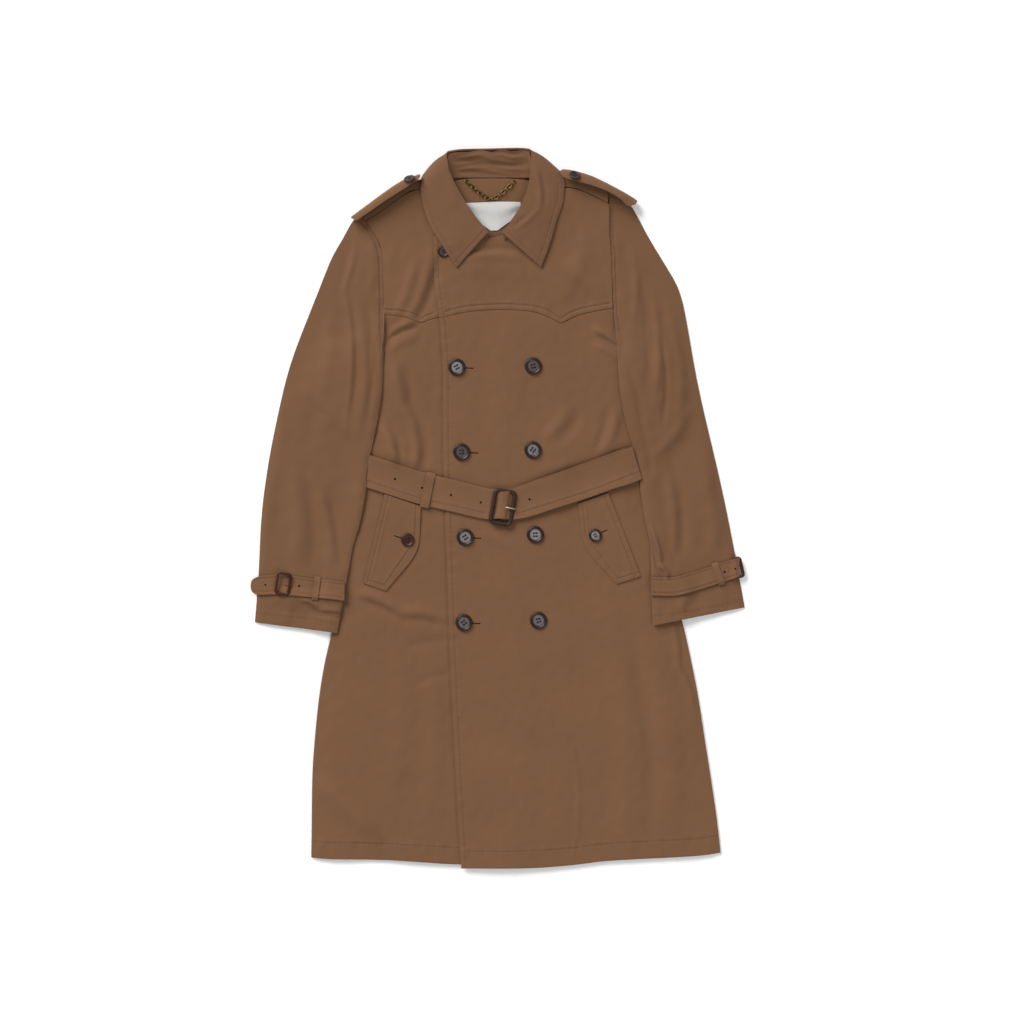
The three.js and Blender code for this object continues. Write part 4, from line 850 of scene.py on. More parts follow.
def sew(piece, seams, name, slot, finish="thread"):
    """Real stitches along the seams of a piece, each lying in its line."""
    rows = []
    for seam in seams:
        if not seam.sewn:
            continue
        run = [(p, height_on(piece, p.x, p.y)) for p in seam.line]
        stretch = []
        for place, height in [*run, (None, None)]:
            if height is not None:
                stretch.append((place.x * MM, place.y * MM, height))
                continue
            if len(stretch) > 3:
                rows.append(stitch_row(stretch))
            stretch = []
    if not rows:
        return None
    bpy.ops.object.select_all(action="DESELECT")
    for row in rows:
        row.select_set(True)
    bpy.context.view_layer.objects.active = rows[0]
    if len(rows) > 1:
        bpy.ops.object.join()
    return dress(bpy.context.active_object, name, finish, slot)


def stitch_row(places):
    width = sizes().thread_radius
    length = sizes().stitch_length
    step = length + sizes().stitch_gap
    bpy.ops.object.select_all(action="DESELECT")
    bpy.ops.curve.primitive_bezier_curve_add(location=(0, 0, 0))
    guide = bpy.context.active_object
    guide.data.splines.clear()
    line = guide.data.splines.new("POLY")
    line.points.add(len(places) - 1)
    for point, place in zip(line.points, places):
        point.co = (*place, 1)
    guide.data.twist_mode = "Z_UP"
    bpy.ops.mesh.primitive_uv_sphere_add(segments=8, ring_count=5, radius=1, location=(0, 0, 0))
    stitch = bpy.context.active_object
    for vertex in stitch.data.vertices:
        x, y, z = vertex.co
        vertex.co = (z * length / 2 + length / 2, y * width, x * width * 0.9)
    total = sum((Vector(b) - Vector(a)).length for a, b in zip(places, places[1:]))
    array = stitch.modifiers.new("Row", "ARRAY")
    array.fit_type = "FIXED_COUNT"
    array.count = max(1, int(total / step))
    array.use_relative_offset = False
    array.use_constant_offset = True
    array.constant_offset_displace = (step, 0, 0)
    bend = stitch.modifiers.new("Along the seam", "CURVE")
    bend.object = guide
    choose(stitch)
    bpy.ops.object.modifier_apply(modifier=array.name)
    bpy.ops.object.modifier_apply(modifier=bend.name)
    bpy.data.objects.remove(guide)
    return stitch


# Small parts
def turned(profile, sides=36):
    """A round piece turned from (radius, height) steps in mm, standing at the middle of the floor."""
    bpy.ops.object.select_all(action="DESELECT")
    bpy.ops.mesh.primitive_circle_add(vertices=sides, radius=profile[0][0] * MM, fill_type="NGON",
                                      location=(0, 0, 0))
    piece = bpy.context.active_object
    bpy.ops.object.mode_set(mode="EDIT")
    bpy.ops.mesh.select_all(action="SELECT")
    for (was, low), (now, high) in zip(profile, profile[1:]):
        bpy.ops.mesh.extrude_region_move(TRANSFORM_OT_translate={"value": (0, 0, (high - low) * MM)})
        bpy.ops.transform.resize(value=(now / was, now / was, 1), center_override=(0, 0, 0))
    bpy.ops.mesh.select_all(action="SELECT")
    bpy.ops.mesh.normals_make_consistent(inside=False)
    bpy.ops.object.mode_set(mode="OBJECT")
    return piece


def bent_rod(places, radii, closed=False, flat=1.0, sides=4):
    """A round rod along places in mm, with a radius in mm at each, flattened if flat is under 1."""
    bpy.ops.object.select_all(action="DESELECT")
    bpy.ops.curve.primitive_bezier_curve_add(location=(0, 0, 0))
    rod = bpy.context.active_object
    rod.data.splines.clear()
    line = rod.data.splines.new("POLY")
    line.points.add(len(places) - 1)
    for point, place, radius in zip(line.points, places, radii):
        point.co = (*(c * MM for c in place), 1)
        point.radius = radius
    line.use_cyclic_u = closed
    rod.data.bevel_depth = MM
    rod.data.bevel_resolution = sides
    rod.data.use_fill_caps = not closed
    rod.data.twist_mode = "Z_UP"
    bpy.ops.object.convert(target="MESH")
    piece = bpy.context.active_object
    middle = sum(p[2] for p in places) / len(places) * MM
    for vertex in piece.data.vertices:
        vertex.co.z = middle + (vertex.co.z - middle) * flat
    choose(piece)
    bpy.ops.object.shade_smooth()
    return piece


def cut_out(piece, tools):
    for tool in tools:
        cut = piece.modifiers.new("Hole", "BOOLEAN")
        cut.object = tool
        cut.solver = "EXACT"
        choose(piece)
        bpy.ops.object.modifier_apply(modifier=cut.name)
        bpy.data.objects.remove(tool)


def joined(pieces):
    bpy.ops.object.select_all(action="DESELECT")
    for piece in pieces:
        piece.select_set(True)
    bpy.context.view_layer.objects.active = pieces[0]
    bpy.ops.object.join()
    return bpy.context.active_object


def lie(piece, cloth, x, y, turn=0.0, reach=6.0, lift=0.0, normal=None, base=None):
    """Turns a piece and lays it on the cloth at a place in mm, following the cloth's slope."""
    if normal is None:
        east, west = height_on(cloth, x + reach, y), height_on(cloth, x - reach, y)
        north, south = height_on(cloth, x, y + reach), height_on(cloth, x, y - reach)
        normal = Vector(((west or 0) - (east or 0), (south or 0) - (north or 0), 2 * reach * MM))
        heights = [h for h in (east, west, north, south, height_on(cloth, x, y)) if h is not None]
        base = max(heights[-1], sum(heights) / len(heights))
    tilt = Vector((0, 0, 1)).rotation_difference(normal)
    about = Matrix.Rotation(turn, 3, "Z")
    for vertex in piece.data.vertices:
        vertex.co = tilt @ (about @ vertex.co) + Vector((x * MM, y * MM, base + lift * MM))
    piece.data.update()


def mark_faces(piece, *finishes):
    piece.data.materials.clear()
    for name in finishes:
        piece.data.materials.append(finish_of(name))


BUTTON_PROFILE = (
    (0.62, 0), (0.9, 0.06), (0.975, 0.25), (1, 0.5), (0.985, 0.76), (0.94, 0.93), (0.88, 1),
    (0.82, 0.98), (0.765, 0.88), (0.72, 0.76), (0.68, 0.7), (0.5, 0.67), (0.3, 0.7),
)


def button(name, node, radius, thick, x, y, cloth, tone=1.0, turn=0.4, finish="horn", slot="dark_button",
           **laid):
    """A four-hole button with a raised rim, sewn on with dark thread."""
    disc = turned([(r * radius, z * thick) for r, z in BUTTON_PROFILE])
    away, hole = 0.185 * radius, 0.115 * radius
    tools = []
    for sx, sy in ((1, 1), (1, -1), (-1, 1), (-1, -1)):
        bpy.ops.mesh.primitive_cylinder_add(vertices=10, radius=hole * MM, depth=4 * thick * MM,
                                            location=(sx * away * MM, sy * away * MM, 0))
        tools.append(bpy.context.active_object)
    cut_out(disc, tools)
    choose(disc)
    bpy.ops.object.shade_smooth_by_angle(angle=math.radians(40))
    threads = []
    for sy in (1, -1):
        for shift in (-0.35, 0.35):
            top = thick * (0.74 + 0.03 * shift)
            run = [(-away * 1.0, sy * away + shift * 0.5, thick * 0.45),
                   (-away * 0.92, sy * away + shift * 0.5, top),
                   (0, sy * away + shift, top + 0.28),
                   (away * 0.92, sy * away + shift * 0.5, top),
                   (away * 1.0, sy * away + shift * 0.5, thick * 0.45)]
            threads.append(bent_rod(run, [0.42] * 5, sides=2))
    for part in threads:
        mark_faces(part, "dark thread")
    mark_faces(disc, finish)
    piece = joined([disc, *threads])
    mesh = piece.data
    ring = mesh.attributes.new("ring", "FLOAT", "POINT")
    shade = mesh.attributes.new("shade", "FLOAT", "POINT")
    for index, vertex in enumerate(mesh.vertices):
        ring.data[index].value = math.hypot(vertex.co.x, vertex.co.y) / (radius * MM)
        shade.data[index].value = tone
    lie(piece, cloth, x, y, turn, reach=radius * 0.8, lift=0.15, **laid)
    return dress_marked(piece, name, slot, [node])


def rounded_frame(width, height, corner, bar, turn, centre, z):
    """Places round a frame's middle line, in mm."""
    w, h = width / 2 - bar, height / 2 - bar
    places = []
    for cx, cy, start in ((w, h, 0), (-w, h, 90), (-w, -h, 180), (w, -h, 270)):
        sx, sy = math.copysign(1, cx), math.copysign(1, cy)
        for k in range(5):
            a = math.radians(start + 22.5 * k)
            places.append((cx - sx * corner + corner * math.cos(a), cy - sy * corner + corner * math.sin(a)))
    c, s = math.cos(turn), math.sin(turn)
    return [(centre[0] + c * x - s * y, centre[1] + s * x + c * y, z) for x, y in places]


def eyelet(cloth, x, y, size=1.5, turn=0.0, long=1.0):
    """A worked hole: a ring of thread round a near-black disc of painted shade for its opening, longer than wide
    if long is over 1.
    """
    bpy.ops.mesh.primitive_torus_add(major_segments=18, minor_segments=6, major_radius=size * MM,
                                     minor_radius=0.32 * MM, location=(0, 0, 0))
    ring = bpy.context.active_object
    for vertex in ring.data.vertices:
        vertex.co.x += math.copysign(size * (long - 1) * MM, vertex.co.x)
        vertex.co.z *= 0.7
    mark_faces(ring, "thread")
    # The opening is a near-black disc of painted shade, standing for the shadow inside the hole.
    bpy.ops.mesh.primitive_cylinder_add(vertices=18, radius=size * 0.92 * MM, depth=0.5 * MM,
                                        location=(0, 0, 0))
    hole = bpy.context.active_object
    for vertex in hole.data.vertices:
        vertex.co.x += math.copysign(size * (long - 1) * MM, vertex.co.x)
    mark_faces(hole, "painted hole shade")
    piece = joined([ring, hole])
    lie(piece, cloth, x, y, turn, reach=1.5, lift=0.05)
    choose(piece)
    bpy.ops.object.shade_smooth_by_angle(angle=math.radians(50))
    return piece


def eyelets(name, slot, cloth, rows):
    """Several worked holes as one piece."""
    return dress_marked(joined([eyelet(cloth, *row) for row in rows]), name, slot)


class FrontStage:
    """Where the camera is, and the size of one pixel on the floor, from the photograph's frame."""

    PIXEL = 0.00155
    LENS = 85.0
    CENTRE = (0.02325, -0.0062)


class COAT_OT_stage(bpy.types.Operator):
    """Lay the pale floor, hang the soft lights and set the camera overhead"""

    bl_idname = "coat.stage"
    bl_label = "Floor, lights and camera"

    def execute(self, context):
        bpy.ops.object.select_all(action="DESELECT")
        bpy.ops.mesh.primitive_grid_add(x_subdivisions=8, y_subdivisions=8, size=12, location=(0, 0, 0))
        floor = context.active_object
        floor.name = "floor"
        floor.data.materials.append(finish_of("floor"))
        scene = context.scene
        scene.view_settings.view_transform = "Standard"
        world = bpy.data.worlds.new("Soft room")
        scene.world = world
        world.use_nodes = True
        sky = world.node_tree.nodes["Background"]
        sky.inputs["Color"].default_value = (1.0, 1.0, 1.0, 1)
        sky.inputs["Strength"].default_value = 0.40
        for name, at, power, width in (
            ("key_light", (-7.2, 9.6, 7.6), 2650.0, 8.4),
            ("fill_light", (1.4, -2.4, 3.4), 62.0, 2.4),
        ):
            bpy.ops.object.light_add(type="AREA", location=at)
            light = context.active_object
            light.name = name
            light.data.energy = power
            light.data.size = width
            light.rotation_euler = (Vector((0, 0, 0)) - Vector(at)).to_track_quat("-Z", "Y").to_euler()
        centre = FrontStage.CENTRE
        distance = 1024 * FrontStage.PIXEL * FrontStage.LENS / 36.0 + 0.008
        bpy.ops.object.camera_add(location=(centre[0], centre[1], distance), rotation=(0, 0, 0))
        camera = context.active_object
        camera.name = "overhead_camera"
        camera.data.lens = FrontStage.LENS
        camera.data.sensor_width = 36.0
        camera.data.clip_end = 50.0
        scene.camera = camera
        return {"FINISHED"}


# Cloth pieces: fine levels, finish, record slot, cut (width, length, area in metres), what each rests on
CLOTH_PIECES = {
    "back": (2, "inner cloth", "inner_cloth", (0.66, 1.08, 0.52), ["floor"]),
    "front_under": (2, "coat cloth", "coat_cloth", (0.38, 0.86, 0.285), ["fine_back"]),
    "front_over": (2, "coat cloth", "coat_cloth", (0.45, 0.87, 0.30), ["fine_front_under"]),
    "yoke_under": (2, "coat cloth", "coat_cloth", (0.29, 0.21, 0.041), ["fine_back"]),
    "yoke_over": (2, "coat cloth", "coat_cloth", (0.29, 0.21, 0.042), ["fine_yoke_under"]),
    "shoulder_right": (2, "coat cloth", "coat_cloth", None, []),
    "shoulder_left": (2, "coat cloth", "coat_cloth", None, []),
    "sleeve_right": (2, "sleeve cloth", "coat_cloth", (0.31, 0.66, 0.16), ["floor", "fine_back"]),
    "sleeve_left": (2, "sleeve cloth", "coat_cloth", (0.31, 0.68, 0.14), ["floor", "fine_back"]),
    "collar_stand": (3, "inner cloth", "inner_cloth", None, []),
    "collar_leaf": (2, "collar cloth", "collar_cloth", (0.50, 0.10, 0.032), ["fine_yoke_over"]),
    "shoulder_strap_right": (3, "coat cloth", "coat_cloth", None, []),
    "shoulder_strap_left": (3, "coat cloth", "coat_cloth", None, []),
    "pocket_welt_right": (3, "coat cloth", "coat_cloth", None, []),
    "pocket_welt_left": (3, "coat cloth", "coat_cloth", None, []),
    "belt_tongue": (2, "belt cloth", "belt_cloth", None, []),
    "belt_buckle_end": (2, "belt cloth", "belt_cloth", None, []),
    "belt_loop": (3, "coat cloth", "coat_cloth", None, []),
    "cuff_strap_right": (2, "coat cloth", "coat_cloth", None, []),
    "cuff_strap_left": (2, "coat cloth", "coat_cloth", None, []),
    "cuff_loop_right": (3, "coat cloth", "coat_cloth", None, []),
    "cuff_loop_left": (3, "coat cloth", "coat_cloth", None, []),
    "neck_label": (3, "label weave", "label_cloth", None, []),
}


def cloth_piece(node, seams=(), lift=None, only_top=False, fine=1, seed=0, edge=0.7, adjust=None,
                creases=()):
    """One dressed cloth piece: fine mesh, soft edges, folds, seam lines and stitches."""
    levels, finish, slot, _, _ = CLOTH_PIECES[node]
    piece = cloth_from(node, levels)
    for _ in range(fine):
        refine(piece, None, 0, low=0.5)
    if edge:
        round_edges(piece, edge)
    if creases:
        refine(piece, [Seam(crease) for crease in creases], 9.0)
    if seams:
        refine(piece, seams, 8.0)
        refine(piece, seams, 3.2)
    if adjust is not None:
        points = points_of(piece)
        set_points(piece, adjust(points))
    form(piece, seams, lift, only_top, seed)
    dress(piece, "fine_" + node, finish, slot, [node])
    stitches = sew(piece, seams, "stitches_" + node, slot)
    return piece, stitches


def pulled_in(line, reach, shift, sink):
    """Draws the points near a line towards it and past it, so that a seam closes."""
    def adjust(points):
        x, y = points[:, 0] / MM, points[:, 1] / MM
        away, _, _ = from_line(x, y, line)
        pull = (1 - step_up(1.0, reach, away))
        points[:, 0] += shift * pull * MM
        points[:, 2] -= sink * pull * step_up(3, 6, points[:, 2] / MM) * MM
        return points
    return adjust


def to_collar(points):
    """The shoulder's inner end runs in below the collar."""
    x = points[:, 0] / MM
    points[:, 0] += 7.0 * (step_up(-136, -122, x) * (x < 0) - (1 - step_up(110, 124, x)) * (x > 0)) * MM
    return points


class COAT_OT_back(bpy.types.Operator):
    """Make the back, which the rest lies on, and the two shoulder folds"""

    bl_idname = "coat.back"
    bl_label = "Back"

    def execute(self, context):
        cloth_piece("back", fine=0, edge=0.5)
        for side in ("right", "left"):
            cloth_piece("shoulder_" + side, lift=None, edge=0.4, adjust=to_collar)
        return {"FINISHED"}


def front_seams():
    edge = smooth(FRONT_EDGE)
    edge_row = beside(edge, -8.2)
    low = [p for p in edge_row if p.y < 300]
    high = [p for p in edge_row if p.y > 296]
    hem = beside(smooth(HEM_OVER), 26)
    hem = [p for p in hem if p.x > -48]
    return low, high, hem


YOKE_POINTS = ((99.2, 287.5), (-117.8, 287.5))


def pointed(points):
    """Sharpens the two points of the yoke line, on the yokes and on the fronts below them alike."""
    x, y = points[:, 0] / MM, points[:, 1] / MM
    for at, low in YOKE_POINTS:
        near = np.exp(-(((y - low) / 22) ** 2))
        points[:, 1] -= 3.6 * np.exp(-np.abs(x - at) / 8) * near * MM
    return points


def yoke_row(table, point):
    """The stitched row above a yoke's edge, with its point as sharp as the edge's."""
    row = beside(smooth(table), 7.8)
    return [Vector((p.x, p.y - 2.2 * math.exp(-abs(p.x - point) / 8))) for p in row]


BESIDE_FRONT_EDGE = beside(smooth(FRONT_EDGE), 1.6)


def under_lift(x, y):
    """The under front's folds, with the narrow valley that shows beside the over front's edge."""
    away = from_line(x, y, BESIDE_FRONT_EDGE)[0]
    return body_lift(x, y) - 0.8 * np.exp(-((away / 1.7) ** 2))


class COAT_OT_fronts(bpy.types.Operator):
    """Make both fronts with their stitched edges and hems"""

    bl_idname = "coat.fronts"
    bl_label = "Fronts"

    def execute(self, context):
        low, _, hem = front_seams()
        hem_under = [p for p in beside(smooth(HEM_UNDER), 25) if p.x < -60]
        _, stitches = cloth_piece("front_under", [Seam(hem_under, sink=0.7, ripple=1.2)], under_lift, seed=4,
                                  adjust=pointed, creases=[BESIDE_FRONT_EDGE])
        seams = [Seam(low, edge=0, sink=0.65, swell=0.6), Seam(hem, sink=0.7, ripple=1.2)]
        _, stitches = cloth_piece("front_over", seams, body_lift, seed=1, adjust=pointed)
        return {"FINISHED"}


class COAT_OT_yokes(bpy.types.Operator):
    """Make both pointed yokes, sewn over the fronts"""

    bl_idname = "coat.yokes"
    bl_label = "Yokes"

    def execute(self, context):
        _, high, _ = front_seams()
        under = yoke_row(YOKE_UNDER_LOW, -117.8)
        _, stitches = cloth_piece("yoke_under", [Seam(under, edge=7.8)], body_lift, seed=7, adjust=pointed)
        over = [p for p in yoke_row(YOKE_OVER_LOW, 99.2) if p.x > -82]
        _, stitches = cloth_piece("yoke_over", [Seam(over, edge=7.8), Seam(high, sink=0.65, swell=0.6)], body_lift,
                                  seed=9, adjust=pointed)
        return {"FINISHED"}


class COAT_OT_sleeves(bpy.types.Operator):
    """Make both sleeves, closed on the armholes"""

    bl_idname = "coat.sleeves"
    bl_label = "Sleeves"

    def execute(self, context):
        right = smooth(ARMHOLE_RIGHT)
        seams = [
            Seam(beside(right, 6.5)[2:-2], sink=0.8, ripple=0.7),
            Seam(smooth(SLEEVE_END_RIGHT), sink=0.5, ripple=1.3),
        ]
        shut = pulled_in(right, 16, 3.4, 0.7)

        def closed_right(points):
            points = shut(points)
            x, y = points[:, 0] / MM, points[:, 1] / MM
            at_waist = np.exp(-(((y + 4) / 46) ** 4))
            points[:, 0] += 5.0 * at_waist * step_up(-240, -212, x) * MM
            return points

        _, stitches = cloth_piece("sleeve_right", seams, sleeve_lift, only_top=True, seed=3,
                                  adjust=closed_right,
                                  creases=[smooth([(-304, -144), (-274, -163), (-238, -169)])])
        left = smooth(ARMHOLE_LEFT)
        armhole = pulled_in(left, 16, -3.4, 0.7)

        def closed(points):
            points = armhole(points)
            x, y = points[:, 0] / MM, points[:, 1] / MM
            at_waist = np.exp(-(((y - 2) / 44) ** 4))
            points[:, 0] -= 5.5 * at_waist * (1 - step_up(226, 256, x)) * MM
            return points

        seams = [
            Seam(beside(left, -6.5)[2:-2], sink=0.8, ripple=0.7),
            Seam(smooth(SLEEVE_END_LEFT), sink=0.5, ripple=1.3),
        ]
        _, stitches = cloth_piece("sleeve_left", seams, sleeve_lift, only_top=True, seed=5, adjust=closed,
                                  creases=[smooth([(238, -48), (248, -92), (261, -111)]),
                                           beside(smooth(SLEEVE_END_LEFT), -12)])
        return {"FINISHED"}


def stand_ripples(points):
    """The inside of the collar stand lies in soft level ripples."""
    x, y = points[:, 0] / MM, points[:, 1] / MM
    back = np.exp(-(((x + 9) / 56) ** 6))
    ripple = (np.sin(y * 0.31 + 1.3 * np.sin(x * 0.036 + 1) + 1.6)
              + 0.5 * np.sin(y * 0.62 + 1.9 * np.sin(x * 0.055)) * np.sin(x * 0.05 + 0.8))
    points[:, 2] += 1.1 * ripple * back * step_up(512, 524, y) * MM
    points[:, 1] += 1.5 * np.sin(x * 0.13 + 1.5 * np.sin(x * 0.05)) * back * step_up(530, 552, y) * MM
    return lower_top(points)


def lower_top(points):
    """The top of the collar sinks a little under its own weight."""
    y = points[:, 1] / MM
    points[:, 1] -= 3.2 * step_up(512, 556, y) * MM
    return points


class COAT_OT_collar(bpy.types.Operator):
    """Make the collar's stand and leaf"""

    bl_idname = "coat.collar"
    bl_label = "Collar"

    def execute(self, context):
        cloth_piece("collar_stand", edge=0.5, adjust=stand_ripples)
        seams = [
            Seam(beside(cornered(COLLAR_EDGE_RIGHT), 7.0), edge=7.0, sink=0.6, swell=0.45, ripple=0.6),
            Seam(beside(cornered(COLLAR_EDGE_LEFT), -7.0), sink=0.6, swell=0.45, ripple=0.6),
        ]

        def roll(x, y):
            return ridges(LEAF_FOLDS, x, y) + 0.6 * waves(x, y, 60, 12) + 0.2 * waves(x, y, 24, 4)

        _, stitches = cloth_piece("collar_leaf", seams, roll, seed=2, edge=0.8, adjust=lower_top)
        return {"FINISHED"}


def strap_rows(table, inset):
    """Places of the two rows along a strap whose rows are x, y and half width in mm."""
    line = smooth([(x, y) for x, y, _ in table])
    across = [row[0] for row in table]
    half = [row[2] for row in table]
    rows = []
    for side in (1, -1):
        row = []
        for i, p in enumerate(line):
            q = line[min(i + 1, len(line) - 1)] - line[max(i - 1, 0)]
            normal = Vector((-q.y, q.x)).normalized()
            row.append(p + normal * side * (float(np.interp(p.x, across, half)) - inset))
        rows.append(row)
    return rows


def shorter(middle, turn, keep):
    """Draws the ends of a loop in towards its middle."""
    def adjust(points):
        x, y = points[:, 0] / MM - middle[0], points[:, 1] / MM - middle[1]
        c, s = math.cos(turn), math.sin(turn)
        across, tall = c * x + s * y, (-s * x + c * y) * keep
        points[:, 0] = (middle[0] + c * across - s * tall) * MM
        points[:, 1] = (middle[1] + s * across + c * tall) * MM
        return points
    return adjust


CUFF_LOOPS = {"right": ((-279, -125), -0.08), "left": ((343, -102), 0.25)}
BUCKLE_AT = (9.0, 1.0)
BUCKLE_TURN = -0.17


def through_buckle(points):
    """The tongue rises through the buckle's frame over its bar."""
    x, y = points[:, 0] / MM - BUCKLE_AT[0], points[:, 1] / MM - BUCKLE_AT[1]
    c, s = math.cos(BUCKLE_TURN), math.sin(BUCKLE_TURN)
    across, tall = c * x + s * y, -s * x + c * y
    points[:, 0] += 4.5 * (step_up(176, 206, x + BUCKLE_AT[0]) - step_up(170, 196, -x - BUCKLE_AT[0])) * MM
    x = points[:, 0] / MM - BUCKLE_AT[0]
    across = c * x + s * y
    inside = np.exp(-((across / 8.2) ** 4))
    points[:, 2] += 4.4 * inside * MM
    narrow = 1 - 0.12 * np.exp(-((across / 13) ** 4))
    tall_now = tall * narrow
    points[:, 0] = (BUCKLE_AT[0] + c * across - s * tall_now) * MM
    points[:, 1] = (BUCKLE_AT[1] + s * across + c * tall_now) * MM
    return points


class COAT_OT_belt(bpy.types.Operator):
    """Make the belt's two layers, its loop, buckle, prong and worked holes"""

    bl_idname = "coat.belt"
    bl_label = "Belt and buckle"

    def execute(self, context):
        _, low = strap_rows(BELT_LINE, 8.5)
        low = [p for p in low if p.x < -16 or p.x > 28]
        left_part = [p for p in low if p.x < 0]
        right_part = [p for p in low if p.x > 0]

        def belt_lift(x, y):
            return body_lift(x, y) + 0.35 * waves(x, y, 70, 21)

        tongue, stitches = cloth_piece(
            "belt_tongue", [Seam(left_part, sink=0.8, ripple=0.6), Seam(right_part, sink=0.8, ripple=0.6)],
            belt_lift, seed=6, adjust=through_buckle)
        cloth_piece("belt_buckle_end", (), belt_lift, fine=0, edge=0.5)
        cloth_piece("belt_loop", (), belt_lift, edge=0.5, adjust=shorter((-107.5, 28), -0.2, 0.84))
        eyelets("belt_holes", "belt_cloth", tongue, [
            (-158.1, 45.0, 1.75), (-116.3, 31.3, 1.75), (-71.3, 20.2, 1.75), (-25.1, 8.7, 1.75),
            (50.2, 13.3, 1.75),
        ])
        rise = max(p for p in (height_on(tongue, x, 2) for x in (-8, 27)) if p) / MM
        path = rounded_frame(37.2, 57, 5.6, 3.2, BUCKLE_TURN, BUCKLE_AT, rise + 2.1)
        bars = bent_rod(path, [3.2] * len(path), closed=True, flat=0.75)
        bar = bent_rod([(BUCKLE_AT[0] + d * math.sin(-BUCKLE_TURN) - 1, BUCKLE_AT[1] + d, rise + 0.4)
                        for d in (-23, 23)], [1.7, 1.7])
        dress(joined([bars, bar]), "buckle_frame", "buckle leather", "belt_frame", ["belt_buckle"])
        high = height_on(tongue, 12, 0.5) / MM
        prong = bent_rod(
            [(13.5, 0.7, high - 1.6), (16.5, 0.3, high + 1.2), (20, -0.2, rise + 4.9), (24, -0.9, rise + 5.3),
             (28.2, -1.4, rise + 4.6)],
            [1.6, 1.6, 1.6, 1.5, 1.1])
        dress(prong, "buckle_prong", "brass", "prong_brass", ["belt_prong"])
        return {"FINISHED"}


class COAT_OT_pockets(bpy.types.Operator):
    """Make the two slanted pocket welts with their buttons and buttonholes"""

    bl_idname = "coat.pockets"
    bl_label = "Pockets"

    def execute(self, context):
        for side, table, inset in (("right", WELT_RIGHT, 7.0), ("left", WELT_LEFT, 7.0)):
            row = beside(cornered(table), inset)
            cloth_piece("pocket_welt_" + side, [Seam(row, sink=0.8, ripple=0.6)], body_lift, seed=8, edge=0.6)
        right, left = made["fine_pocket_welt_right"], made["fine_pocket_welt_left"]
        eyelets("pocket_buttonholes", "coat_cloth", right, [(-152.5, -45.2, 0.8, -0.35, 10.0)])
        eyelets("pocket_buttonhole_left", "coat_cloth", left, [(163.5, -36.9, 0.8, 0.42, 10.0)])
        button("pocket_horn_right", "pocket_button_right", 10.2, 3.0, -138.7, -49.3, right, 0.5, 0.2,
               "reddish horn", "red_brown_button")
        button("pocket_horn_left", "pocket_button_left", 10.0, 3.0, 152.3, -42.5, left, 1.0, 0.5)
        return {"FINISHED"}


# Main buttons: node, x, y, paleness of the face, turn, worked hole beside it or not
BUTTONS = (
    ("top_right", -62.0, 218.1, 0.95, 0.5, True),
    ("top_left", 56.1, 219.8, 0.30, 0.2, False),
    ("waist_right", -54.7, 86.8, 0.25, 0.1, True),
    ("waist_left", 55.8, 89.9, 0.75, 0.9, False),
    ("hip_right", -49.1, -45.3, 0.85, 0.6, True),
    ("hip_left", 59.4, -41.2, 1.0, 0.0, False),
    ("low_right", -51.1, -177.5, 0.45, 0.7, True),
    ("low_left", 64.3, -174.1, 0.55, 0.3, False),
)


class COAT_OT_buttons(bpy.types.Operator):
    """Sew on the front buttons and work their buttonholes"""

    bl_idname = "coat.buttons"
    bl_label = "Front buttons"

    def execute(self, context):
        cloth = made["fine_front_over"]
        holes = [(x + 16.8, y - 1.2, 0.8, -0.05, 11.0) for _, x, y, _, _, worked in BUTTONS if worked]
        eyelets("front_buttonholes", "coat_cloth", cloth, holes)
        for name, x, y, pale, turn, _ in BUTTONS:
            button("horn_" + name, "button_" + name, 13.2, 3.7, x, y, cloth, pale, turn)
        button("horn_neck", "button_neck", 9.2, 2.5, -82.9, 397.5, made["fine_yoke_over"], 0.2, 0.4)
        return {"FINISHED"}


def node_pose(node):
    """Middle and facing of a flat node, from its own solid."""
    mesh = frame["nodes"][node].data
    points = np.array([v.co for v in mesh.vertices])
    middle = points.mean(axis=0)
    _, _, axes = np.linalg.svd(points - middle)
    normal = Vector(axes[2])
    return middle, normal if normal.z > 0 else -normal


def longer_strap(points):
    """A shoulder strap's tip reaches to the collar, and its cloth waves a little."""
    x, y = points[:, 0] / MM, points[:, 1] / MM
    right, left = step_up(-172, -128, x) * (x < 0), (1 - step_up(112, 152, x)) * (x > 0)
    points[:, 0] += (5.5 * right - 9.5 * left) * MM
    points[:, 1] += (1.6 * right + 1.5 * left) * MM
    points[:, 2] += 0.3 * waves(x, y, 40, 9) * MM
    return points


class COAT_OT_shoulders(bpy.types.Operator):
    """Make the shoulder straps with their buttons"""

    bl_idname = "coat.shoulders"
    bl_label = "Shoulder straps"

    def execute(self, context):
        for side in ("right", "left"):
            strap, _ = cloth_piece("shoulder_strap_" + side, edge=0.6, adjust=longer_strap)
            middle, normal = node_pose("shoulder_button_" + side)
            button("horn_shoulder_" + side, "shoulder_button_" + side, 8.8, 2.3, middle[0] / MM,
                   middle[1] / MM - (3.8 if side == "right" else 6.6), strap, 0.0, 0.5, normal=normal,
                   base=middle[2] - (normal.z * 1.5 - 1.6) * MM)
        return {"FINISHED"}


def over_bar(points):
    """The left cuff strap ends in a turn round its buckle's bar."""
    x = points[:, 0] / MM
    points[:, 2] += 5.2 * step_up(360, 371, x) * MM
    points[:, 0] -= 0.6 * step_up(364, 376, x) * MM
    return points


def blunt_tip(points):
    """The right cuff strap's rounded tip is squared a little."""
    x, y = points[:, 0] / MM, points[:, 1] / MM
    middle = np.interp(x, [row[0] for row in CUFF_RIGHT], [row[1] for row in CUFF_RIGHT])
    near = np.clip((-372 - x) / 12.5, 0, 0.985)
    wide = np.minimum((1 - near**4) ** 0.25 / np.sqrt(1 - near**2), 1.7)
    points[:, 1] = (middle + (y - middle) * wide) * MM
    return points


